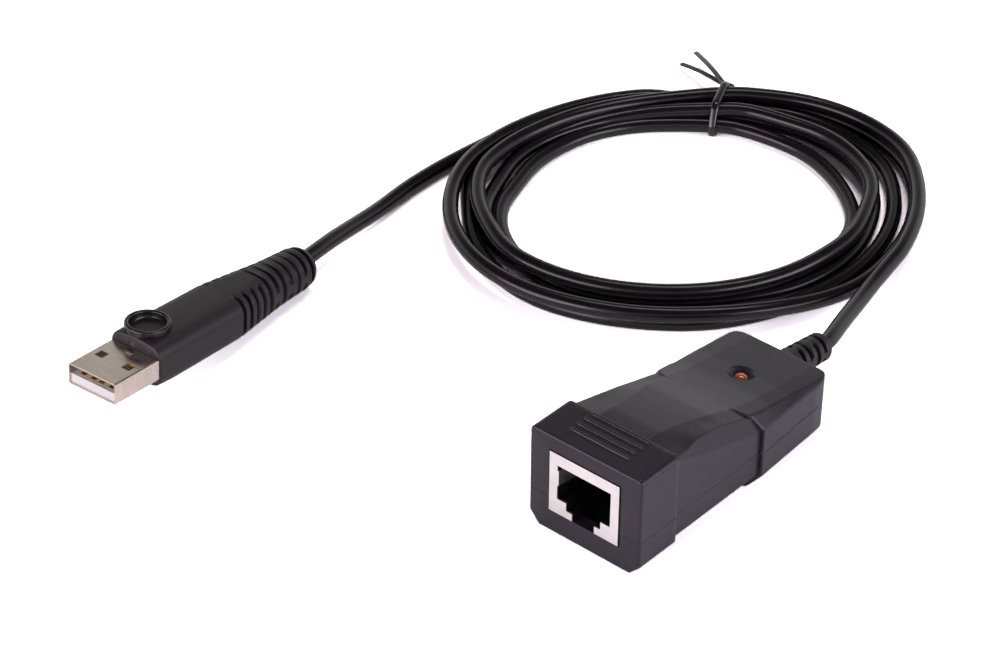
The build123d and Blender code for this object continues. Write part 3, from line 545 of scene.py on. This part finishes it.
PLUG_MOUTH = np.array([-91.44, -62.7, 7.75])
PLUG_X = np.array([0.996985, 0.077590, 0.0])
PLUG_BACK = np.array([-0.077271, 0.992882, -0.090633])
PLUG_UP = np.array([-0.007032, 0.090359, 0.995884])
BODY_START = 11.9
BODY_MIDDLE = 2.25
NECK_LIFT = 0.9
NECK_RADIUS = 1.68
FRONT_LIP = 0.4
NOSE_START = 45.7
NOSE_LENGTH = 3.6
NOSE_TIP = 6.0
NOSE_SWELL = 3.0
GROOVE_COUNT = 11
SIDE_GROOVES = 4
GROOVE_FIRST = 23.6
GROOVE_PITCH = 2.3
GROOVE_EDGES = np.array([-0.05, 0.2, 0.9, 1.15])
# The hole round the plug's tube: width, height and corner radius
TUBE_HOLE = np.array([[12.1], [4.6], [0.55]])
# The raised ring's middle: across, behind the mouth and above the tube's foot
RING_PLACE = (-1.1, 16.5, 8.3)
# Distance behind the body's front, width, height, corner radius, and how far the top is crowned
BODY = np.array([(0.0, 12.6, 8.2, 2.2, 0.65), (4.0, 12.9, 8.9, 2.6, 0.35), (24.0, 12.9, 8.9, 3.0, 0.3),
                 (38.0, 9.7, 9.7, 4.6, 0.0), (45.7, 9.0, 9.0, 4.3, 0.0), (48.2, 7.9, 7.9, 3.8, 0.0),
                 (49.2, 6.2, 6.2, 3.0, 0.0)])


def plug_place(x, along, lift):
    """From across, behind the mouth and above the tube's foot to the frame."""
    x, along, lift = np.broadcast_arrays(x, along, lift)
    return PLUG_MOUTH + x[..., None] * PLUG_X + along[..., None] * PLUG_BACK + lift[..., None] * PLUG_UP


def body_ring(wide, tall, corner, plan):
    """Rounded rectangles, one a row, wide by tall with that corner radius."""
    x, z = wide[:, None] / 2, tall[:, None] / 2
    signs = np.array([(1, 1), (-1, 1), (-1, -1), (1, -1)])
    corners = np.stack([x * signs[:, 0], z * signs[:, 1]], -1)[:, None]
    corners = np.broadcast_to(corners, (len(wide), len(plan[0]), 4, 2))
    radii = np.broadcast_to(corner[:, None, None], (len(wide), len(plan[0]), 4))
    return rounded(corners, radii, plan)


def plug_grid():
    """Moulded body: rounded rectangles along the plug, crowned on top by a parabola, with grip grooves that
    blend to a smaller section; the first four leave the top and foot smooth, later ones are staggered."""
    plan = columns_plan([11] * 4, [np.linspace(0.06, 0.94, 9)] * 4, closed=True)
    lip = np.radians([0, 30, 60, 90])
    along = np.concatenate([FRONT_LIP * (1 - np.cos(lip)), [0.8, 1.6, 2.6, 4.0], np.arange(5.0, 23.0, 1.5),
                            np.arange(23.2, 48.6, 0.19), [48.75, 48.95, 49.1, 49.2]])
    width, height, corner, crown = [np.interp(along, BODY[:, 0], BODY[:, i]) for i in range(1, 5)]
    nose = np.sqrt(np.clip(1 - np.clip((along - NOSE_START) / NOSE_LENGTH, 0, 1)**2, 0, 1))
    on_nose = along > NOSE_START
    width, height = [np.where(on_nose, NOSE_TIP + NOSE_SWELL * nose, size) for size in (width, height)]
    corner = np.where(on_nose, 0.478 * width, corner)
    draw = np.zeros_like(along)
    draw[:4] = FRONT_LIP * (1 - np.sin(lip))
    outer = body_ring(width - 2 * draw, height - 2 * draw, corner, plan)
    inner = body_ring(width - 1.5, height - 1.5, np.maximum(corner - 0.6, 0.5), plan)
    groove = np.zeros(outer.shape[:2])
    on_sides = soft_step(abs(outer[..., 0]), 3.0, 3.7)
    off_middle = soft_step(abs(outer[..., 1]), 1.0, 1.6)
    for number in range(GROOVE_COUNT):
        cut = trench(along[:, None], GROOVE_FIRST + GROOVE_PITCH * number + GROOVE_EDGES)
        groove += cut * (on_sides if number < SIDE_GROOVES else off_middle if number % 2 else 1.0)
    flat = outer + np.clip(groove, 0, 1)[..., None] * (inner - outer)
    lift = crown[:, None] * np.clip(1 - (flat[..., 0] / (width[:, None] / 2))**2, 0, 1)
    flat[..., 1] += np.where(flat[..., 1] > 0, lift, -0.25 * lift)
    hole = body_ring(*TUBE_HOLE, plan)[0]
    turn = np.arctan2(outer[-1, :, 1], outer[-1, :, 0])
    neck = np.stack([NECK_RADIUS * np.cos(turn), NECK_RADIUS * np.sin(turn) + NECK_LIFT], -1)
    rings = np.concatenate([[hole, hole], flat, [neck, neck]])
    places = np.concatenate([[2.5, 0.0], along, [49.22, 47.0]])
    return plug_place(rings[..., 0], (BODY_START + places)[:, None], BODY_MIDDLE + rings[..., 1])


plug_body = mesh_piece("plug_grip", [plug_grid()], sharp=48)

# Radius and height from the dish's middle out, over the ring's rounded lip and down its skirt
lip_turn = np.radians(np.linspace(195, -5, 12))
ring_profile = [(0.0, -2.05), (1.5, -2.03), (2.7, -1.95), (3.2, -1.7), (3.45, -1.2), (3.58, -0.7)]
ring_profile += [(4.06 + 0.44 * np.cos(a), -0.36 + 0.36 * np.sin(a)) for a in lip_turn]
ring_profile += [(4.52, -0.9), (4.56, -1.8), (4.7, -3.4)]
ring_grid = lathe(ring_profile, plug_place(*RING_PLACE), PLUG_UP, PLUG_X, 96)
plug_ring = mesh_piece("plug_ring", [ring_grid], sharp=60)


# ---------------------------------------------------------------- tie

TIE_ANGLE = np.radians(114.5)
TIE_ROW = 7
TIE_HALF_WIDTH = 0.85
TIE_HALF_THICK = 0.45
TIE_OFF_CORD = 0.47
TIE_FLOOR = 0.03
KNOT_OUT = 1.5
KNOT_HEIGHT = 4.2
KNOT_TURNS = 1.25
TAIL_TIPS = np.array([(-93.5, 121.9, 1.5), (-92.7, 115.8, 1.5)])
TAIL_STARTS = (0.4, 3.5)
UPRIGHT = np.array([0, 0, 1.0])

coil_foot = np.array([*COIL_MIDDLE, 0])
tie_out = np.array([np.cos(TIE_ANGLE), np.sin(TIE_ANGLE), 0.0])
tie_along = np.array([-tie_out[1], tie_out[0], 0.0])
strands = np.array([turn[TIE_ROW] for turn in turns])
strand_out = (strands - coil_foot) @ tie_out
knot = coil_foot + (strand_out.max() + CORD_RADIUS + KNOT_OUT) * tie_out + np.array([0, 0, KNOT_HEIGHT])


def tie_loop():
    """Band round the strands: at each direction the furthest strand's middle plus a strand's radius, which
    gives arcs round the outer strands and straights between them, with an oval section."""
    turn = np.linspace(0, 2 * np.pi, 144, endpoint=False)
    facing = np.stack([np.cos(turn), np.sin(turn)], 1)
    middles = np.stack([strand_out, strands[:, 2]], 1)
    furthest = middles[np.argmax(facing @ middles.T, axis=1)]
    oval = np.linspace(0, 2 * np.pi, 16, endpoint=False)
    depth = CORD_RADIUS + TIE_OFF_CORD + TIE_HALF_THICK * np.sin(oval)
    across = TIE_HALF_WIDTH * np.cos(oval)
    flat = furthest[:, None] + depth[None, :, None] * facing[:, None]
    flat[..., 1] = np.maximum(flat[..., 1], TIE_FLOOR)
    place = (coil_foot + flat[..., :1] * tie_out + flat[..., 1:] * UPRIGHT
             + across[None, :, None] * tie_along)
    return np.concatenate([place, place[:1]])


def tie_tail(tip, start_turn):
    """One end of the tie: round the knot one and a quarter times as a helix that closes on its axis, then
    straight to its tip with a slight bow."""
    towards = TAIL_TIPS.mean(0) - knot
    axis = towards / np.linalg.norm(towards)
    first = np.cross(axis, UPRIGHT)
    first /= np.linalg.norm(first)
    second = np.cross(axis, first)
    t = np.linspace(0, 1, 40)[:, None]
    turn = start_turn + 2 * np.pi * KNOT_TURNS * t
    twist = knot + axis * (2.6 * t - 1.2) + (1.0 - 0.35 * t) * (np.cos(turn) * first + np.sin(turn) * second)
    s = np.linspace(0.12, 1, 24)[:, None]
    bow = UPRIGHT * 0.5 * np.sin(np.pi * s)
    straight = knot + axis * 1.4 + s * (tip - knot - axis * 1.4) + bow
    side = np.concatenate([np.cos(turn + 1.57) * first + np.sin(turn + 1.57) * second,
                           np.broadcast_to(first, straight.shape)])
    oval = np.linspace(0, 2 * np.pi, 12, endpoint=False)
    profile = np.stack([0.62 * np.cos(oval), 0.45 * np.sin(oval)], 1)
    return carried(profile, np.concatenate([twist, straight]), side)


tails = [tie_tail(tip, start) for tip, start in zip(TAIL_TIPS, TAIL_STARTS)]
tie = mesh_piece("cord_tie", [tie_loop(), *tails], sharp=60)


# ---------------------------------------------------------------- finishes

def tone(red, green, blue):
    """Colour as written on a screen, 0 to 255, in linear light."""
    value = np.array([red, green, blue]) / 255
    return (*np.where(value <= 0.04045, value / 12.92, ((value + 0.055) / 1.055)**2.4), 1.0)


def node(tree, kind, values=(), **settings):
    """New node with its settings and the values of its inputs."""
    made = tree.nodes.new("ShaderNode" + kind)
    for name, value in settings.items():
        setattr(made, name, value)
    for name, value in dict(values).items():
        made.inputs[name].default_value = value
    return made


def effect(name, numbers, outputs):
    """Empty node group with a vector input, numbers with their defaults, and number outputs."""
    tree = bpy.data.node_groups.new(name, "ShaderNodeTree")
    new_socket = tree.interface.new_socket
    new_socket("Vector", in_out="INPUT", socket_type="NodeSocketVector")
    for label, value in numbers.items():
        new_socket(label, in_out="INPUT", socket_type="NodeSocketFloat").default_value = value
    for label in outputs:
        new_socket(label, in_out="OUTPUT", socket_type="NodeSocketFloat")
    return tree, tree.nodes.new("NodeGroupInput"), tree.nodes.new("NodeGroupOutput")


def grain_effect():
    """Moulded grain: fine pits over slow cloudy shade."""
    tree, given, out = effect("moulded_grain", {"Size": 3000.0, "Cloud": 60.0}, ["Shade", "Height"])
    pits = node(tree, "TexNoise", {"Detail": 3.0, "Roughness": 0.6})
    cloud = node(tree, "TexNoise", {"Detail": 4.0, "Roughness": 0.55})
    cells = node(tree, "TexVoronoi", {"Randomness": 1.0}, feature="SMOOTH_F1")
    shade = node(tree, "Math", operation="ADD")
    half = node(tree, "Math", {1: 0.5}, operation="MULTIPLY")
    height = node(tree, "Math", operation="ADD")
    link = tree.links.new
    for made, size in ((pits, "Size"), (cloud, "Cloud"), (cells, "Size")):
        link(given.outputs["Vector"], made.inputs["Vector"])
        link(given.outputs[size], made.inputs["Scale"])
    link(pits.outputs["Fac"], shade.inputs[0])
    link(cloud.outputs["Fac"], shade.inputs[1])
    link(shade.outputs[0], half.inputs[0])
    link(half.outputs[0], out.inputs["Shade"])
    link(pits.outputs["Fac"], height.inputs[0])
    link(cells.outputs["Distance"], height.inputs[1])
    link(height.outputs[0], out.inputs["Height"])
    return tree


def specks_effect():
    """Sparse specks of dust and rubs: the peaks of one noise where a slower one allows them."""
    tree, given, out = effect("dust_and_rubs", {"Size": 900.0, "Spread": 70.0, "Least": 0.66}, ["Mask"])
    fine = node(tree, "TexNoise", {"Detail": 2.0, "Roughness": 0.7})
    slow = node(tree, "TexNoise", {"Detail": 1.0})
    product = node(tree, "Math", operation="MULTIPLY")
    sharpen = node(tree, "MapRange", clamp=True)
    scaled = node(tree, "Math", {1: 1.35}, operation="MULTIPLY")
    link = tree.links.new
    link(given.outputs["Vector"], fine.inputs["Vector"])
    link(given.outputs["Vector"], slow.inputs["Vector"])
    link(given.outputs["Size"], fine.inputs["Scale"])
    link(given.outputs["Spread"], slow.inputs["Scale"])
    link(fine.outputs["Fac"], product.inputs[0])
    link(slow.outputs["Fac"], product.inputs[1])
    link(product.outputs[0], scaled.inputs[0])
    link(scaled.outputs[0], sharpen.inputs["Value"])
    link(given.outputs["Least"], sharpen.inputs["From Min"])
    link(sharpen.outputs["Result"], out.inputs["Mask"])
    return tree


GRAIN, SPECKS = grain_effect(), specks_effect()


def placed(tree, group, vector, **values):
    """A group in a material, fed with that vector and values."""
    made = tree.nodes.new("ShaderNodeGroup")
    made.node_tree = group
    tree.links.new(vector, made.inputs["Vector"])
    for name, value in values.items():
        made.inputs[name].default_value = value
    return made


DUST = (176, 172, 170)


def finish(name, dark, light, rough, size=3000.0, cloud=60.0, relief_mm=0.02, specks=0.0, metal=0.0,
           level=0.5, coat=0.0, stretch=(1, 1, 1)):
    """Solid finish: colour between dark and light by the grain's shade, dust specks, roughness that follows
    the shade, and the grain as a bump."""
    dark, light = tone(*dark), tone(*light)
    material = bpy.data.materials.new(name)
    material.use_nodes = True
    tree = material.node_tree
    surface = tree.nodes["Principled BSDF"]
    surface.inputs["Metallic"].default_value = metal
    surface.inputs["Specular IOR Level"].default_value = level
    surface.inputs["Coat Weight"].default_value = coat
    surface.inputs["Coat Roughness"].default_value = 0.12
    where = node(tree, "TexCoord")
    mapped = node(tree, "Mapping", {"Scale": stretch})
    link = tree.links.new
    link(where.outputs["Object"], mapped.inputs["Vector"])
    grain = placed(tree, GRAIN, mapped.outputs["Vector"], Size=size, Cloud=cloud)
    spread = node(tree, "MapRange", {"From Min": 0.35, "From Max": 0.65}, clamp=True)
    colour = mix_node(tree, dark, light)
    link(grain.outputs["Shade"], spread.inputs["Value"])
    link(spread.outputs["Result"], colour.inputs[0])
    last = colour.outputs[2]
    if specks:
        dust = placed(tree, SPECKS, mapped.outputs["Vector"])
        amount = node(tree, "Math", {1: specks}, operation="MULTIPLY")
        dusted = mix_node(tree, dark, tone(*DUST))
        link(dust.outputs["Mask"], amount.inputs[0])
        link(amount.outputs[0], dusted.inputs[0])
        link(last, dusted.inputs[6])
        last = dusted.outputs[2]
    link(last, surface.inputs["Base Color"])
    gloss = node(tree, "MapRange", {"From Min": 0.3, "From Max": 0.7, "To Min": rough[0], "To Max": rough[1]},
                 clamp=True)
    link(grain.outputs["Shade"], gloss.inputs["Value"])
    link(gloss.outputs["Result"], surface.inputs["Roughness"])
    bump = node(tree, "Bump", {"Strength": 0.5, "Distance": relief_mm * MM})
    link(grain.outputs["Height"], bump.inputs["Height"])
    link(bump.outputs["Normal"], surface.inputs["Normal"])
    return material


def mix_node(tree, first, second):
    """Colour mix with its factor on input 0 and its colours on inputs 6 and 7."""
    made = tree.nodes.new("ShaderNodeMix")
    made.data_type = "RGBA"
    made.inputs[6].default_value = first
    made.inputs[7].default_value = second
    return made


# Dark tone, light tone, roughness from and to, and what else differs from a plain finish
FINISHES = {
    "housing_plastic": ((38, 33, 41), (47, 41, 51), (0.27, 0.37),
                        dict(size=2600.0, relief_mm=0.03, specks=0.1, level=0.36)),
    "cord_jacket": ((16, 12, 15), (25, 20, 24), (0.2, 0.28),
                    dict(size=900.0, cloud=110.0, relief_mm=0.003, level=0.38)),
    "grip_rubber": ((26, 22, 24), (36, 31, 35), (0.4, 0.52),
                    dict(size=2200.0, relief_mm=0.02, specks=0.25, level=0.4)),
    "ring_rubber": ((20, 17, 19), (28, 24, 27), (0.2, 0.3), dict(size=1500.0, relief_mm=0.002, level=0.5)),
    "tie_plastic": ((18, 17, 18), (30, 28, 30), (0.14, 0.24), dict(size=700.0, relief_mm=0.02, level=0.55)),
    "plug_nickel": ((206, 194, 180), (224, 214, 202), (0.2, 0.32),
                    dict(size=420.0, cloud=90.0, relief_mm=0.004, metal=1.0, stretch=(1, 8, 1))),
    "shield_tin": ((240, 237, 233), (250, 247, 243), (0.3, 0.42),
                   dict(size=600.0, cloud=120.0, relief_mm=0.004, metal=1.0)),
    "insert_plastic": ((16, 15, 16), (24, 22, 24), (0.4, 0.5), dict(size=2000.0, relief_mm=0.01, level=0.3)),
    "contact_gold": ((226, 180, 96), (240, 200, 120), (0.16, 0.26),
                     dict(size=900.0, relief_mm=0.003, metal=1.0)),
    "tongue_plastic": ((236, 235, 232), (246, 245, 243), (0.3, 0.4),
                       dict(size=1200.0, relief_mm=0.006, level=0.45)),
    # The board's green is painted almost black: painted shade, because the board is only seen deep in the
    # socket's recess
    "board_mask_painted_shade": ((5, 15, 11), (8, 23, 16), (0.25, 0.36),
                   dict(size=320.0, cloud=300.0, relief_mm=0.02, level=0.5)),
    "chip_epoxy": ((24, 24, 25), (38, 38, 40), (0.5, 0.62), dict(size=2500.0, relief_mm=0.015, level=0.35)),
    "leg_tin": ((186, 186, 184), (206, 205, 202), (0.25, 0.38),
                dict(size=1400.0, relief_mm=0.004, metal=1.0)),
    "can_steel": ((190, 188, 184), (208, 206, 202), (0.22, 0.34),
                  dict(size=500.0, relief_mm=0.004, metal=1.0, stretch=(1, 1, 6))),
    "ceramic": ((166, 132, 96), (186, 152, 112), (0.4, 0.5), dict(size=1600.0, relief_mm=0.01)),
    "core_moulding": ((208, 204, 196), (222, 218, 211), (0.45, 0.55), dict(size=1100.0, relief_mm=0.01)),
    "wire_red": ((164, 22, 20), (188, 34, 30), (0.35, 0.45), dict(size=1000.0, relief_mm=0.008)),
    "wire_white": ((222, 220, 216), (236, 234, 230), (0.35, 0.45), dict(size=1000.0, relief_mm=0.008)),
    "wire_green": ((18, 112, 52), (28, 134, 64), (0.35, 0.45), dict(size=1000.0, relief_mm=0.008)),
    "wire_black": ((20, 20, 21), (32, 31, 32), (0.35, 0.45), dict(size=1000.0, relief_mm=0.008)),
    "lamp_amber": ((176, 70, 12), (255, 150, 58), (0.08, 0.16),
                   dict(size=500.0, cloud=900.0, relief_mm=0.003, level=0.6, coat=0.8)),
}
finishes = {name: finish(name, *looks, **more) for name, (*looks, more) in FINISHES.items()}


# ---------------------------------------------------------------- what rides and replaces what

def dress(piece, finish_name, slot, *nodes):
    """Gives a piece its finish and says what it rides on and the nodes that it stands for. The slot is not
    used.
    """
    piece.data.materials.clear()
    piece.data.materials.append(finishes[finish_name])
    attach(piece, "root")
    if nodes:
        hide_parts(*nodes)


dress(housing_top, "housing_plastic", "housing_upper", "upper_shell")
dress(housing_base, "housing_plastic", "housing_lower", "lower_shell")
dress(grip, "housing_plastic", "housing_upper")
dress(lens, "lamp_amber", "lamp_lens", "led_lamp")
dress(relief, "grip_rubber", "relief", "strain_relief")
dress(plug_body, "grip_rubber", "overmould", "plug_body")
dress(plug_ring, "ring_rubber", "overmould")
dress(tie, "tie_plastic", "tie", "cable_tie")
dress(cord, "cord_jacket", "cord_jacket_coil", "cord_lead_adapter", "cord_coil", "cord_lead_plug")

NODE_FINISHES = {
    "rj45_shield": "shield_tin", "rj45_insert": "insert_plastic", "rj45_contacts": "contact_gold",
    # The circuit board takes the near-black green that stands for the shade inside the socket's recess
    "circuit_board": "board_mask_painted_shade", "usb_serial_chip": "chip_epoxy", "usb_serial_legs": "leg_tin",
    "line_driver_chip": "chip_epoxy", "line_driver_legs": "leg_tin", "crystal": "can_steel",
    "capacitors": "ceramic", "led_leads": "leg_tin", "core_red": "wire_red", "core_white": "wire_white",
    "core_green": "wire_green", "core_black": "wire_black", "plug_core": "core_moulding",
    "usb_shell": "plug_nickel", "usb_tongue": "tongue_plastic", "usb_contacts": "contact_gold",
}
for name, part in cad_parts.items():
    material = finishes[NODE_FINISHES.get(name, "housing_plastic")]
    if not part.material_slots:
        part.data.materials.append(material)
    for material_slot in part.material_slots:
        material_slot.material = material


# ---------------------------------------------------------------- floor, light and background

FLOOR_HALF = 4
PAPER = (0.82, 0.82, 0.82, 1)
SEEN_PAPER = (5.0, 5.0, 5.0, 1)
MIRRORED_SHARE = 0.24
SKY_LIGHT = 0.1
SKY_SEEN = 1.0
SKY_LOW = (1, 1, 1, 1)
SKY_HIGH = (0.06, 0.045, 0.045, 1)
SKY_HEIGHTS = (0.3, 0.62)


def rays_that_see(tree, path, glossy):
    """The largest of the camera ray, the glossy ray's given share and the transmission ray."""
    two, three = [node(tree, "Math", operation="MAXIMUM") for _ in range(2)]
    tree.links.new(path.outputs["Is Camera Ray"], two.inputs[0])
    tree.links.new(glossy, two.inputs[1])
    tree.links.new(two.outputs[0], three.inputs[0])
    tree.links.new(path.outputs["Is Transmission Ray"], three.inputs[1])
    return three.outputs[0]


def paper_finish():
    """Matt paper that is plain white to what sees it and soft white to the light that it throws back."""
    material = bpy.data.materials.new("floor_paper")
    material.use_nodes = True
    tree = material.node_tree
    tree.nodes.clear()
    path = node(tree, "LightPath")
    dimmer = node(tree, "Math", {1: MIRRORED_SHARE}, operation="MULTIPLY")
    white = mix_node(tree, PAPER, SEEN_PAPER)
    paper = node(tree, "BsdfDiffuse")
    target = node(tree, "OutputMaterial")
    link = tree.links.new
    link(path.outputs["Is Glossy Ray"], dimmer.inputs[0])
    link(rays_that_see(tree, path, dimmer.outputs[0]), white.inputs[0])
    link(white.outputs[2], paper.inputs["Color"])
    link(paper.outputs[0], target.inputs["Surface"])
    return material


def studio():
    """White room with a dark ceiling for all but the camera: dim as a light, bright to what sees it."""
    room = bpy.data.worlds.new("studio")
    room.use_nodes = True
    tree = room.node_tree
    tree.nodes.clear()
    path = node(tree, "LightPath")
    strength = node(tree, "MapRange", {"To Min": SKY_LIGHT, "To Max": SKY_SEEN})
    where = node(tree, "TexCoord")
    parts = node(tree, "SeparateXYZ")
    ceiling = node(tree, "MapRange", {"From Min": SKY_HEIGHTS[0], "From Max": SKY_HEIGHTS[1]}, clamp=True)
    unseen = node(tree, "Math", {0: 1.0}, operation="SUBTRACT")
    share = node(tree, "Math", operation="MULTIPLY")
    shade = mix_node(tree, SKY_LOW, SKY_HIGH)
    sky = node(tree, "Background")
    target = node(tree, "OutputWorld")
    link = tree.links.new
    link(rays_that_see(tree, path, path.outputs["Is Glossy Ray"]), strength.inputs["Value"])
    link(where.outputs["Generated"], parts.inputs[0])
    link(parts.outputs["Z"], ceiling.inputs["Value"])
    link(path.outputs["Is Camera Ray"], unseen.inputs[1])
    link(ceiling.outputs["Result"], share.inputs[0])
    link(unseen.outputs[0], share.inputs[1])
    link(share.outputs[0], shade.inputs[0])
    link(shade.outputs[2], sky.inputs["Color"])
    link(strength.outputs["Result"], sky.inputs["Strength"])
    link(sky.outputs[0], target.inputs["Surface"])
    return room


floor_mesh = bpy.data.meshes.new("floor")
floor_corners = [(x * FLOOR_HALF, y * FLOOR_HALF, 0) for x, y in ((-1, -1), (1, -1), (1, 1), (-1, 1))]
floor_mesh.from_pydata(floor_corners, [], [(0, 1, 2, 3)])
floor_mesh.materials.append(paper_finish())
floor = new_object("floor", floor_mesh)
bpy.context.scene.world = studio()


def soft_box(name, place, aim, size, brightness, tint):
    """Rectangular lamp at a place, facing its aim, with that brightness and tint over its face."""
    data = bpy.data.lights.new(name, "AREA")
    data.shape = "RECTANGLE"
    data.size, data.size_y = size
    data.energy = brightness * np.pi * size[0] * size[1]
    data.color = tint
    lamp = new_object(name, data)
    back = np.array(place, float) - aim
    back /= np.linalg.norm(back)
    side = np.cross([0, 0, 1.0], back)
    side /= np.linalg.norm(side)
    lamp.matrix_world = pose(side, np.cross(back, side), back, place)


AIM = np.array([-0.04, 0.02, 0.01])
soft_box("right_box", (0.85, 0.15, 0.22), AIM, (0.9, 0.4), 5.0, (0.93, 0.89, 1.0))
soft_box("front_box", (-0.25, -0.85, 0.22), AIM, (0.9, 0.4), 5.6, (1.0, 0.9, 0.98))
soft_box("top_strip", (-0.1, 0.25, 0.75), AIM, (0.5, 0.11), 8.0, (1.0, 0.88, 0.95))

bpy.context.scene.view_settings.view_transform = "Standard"
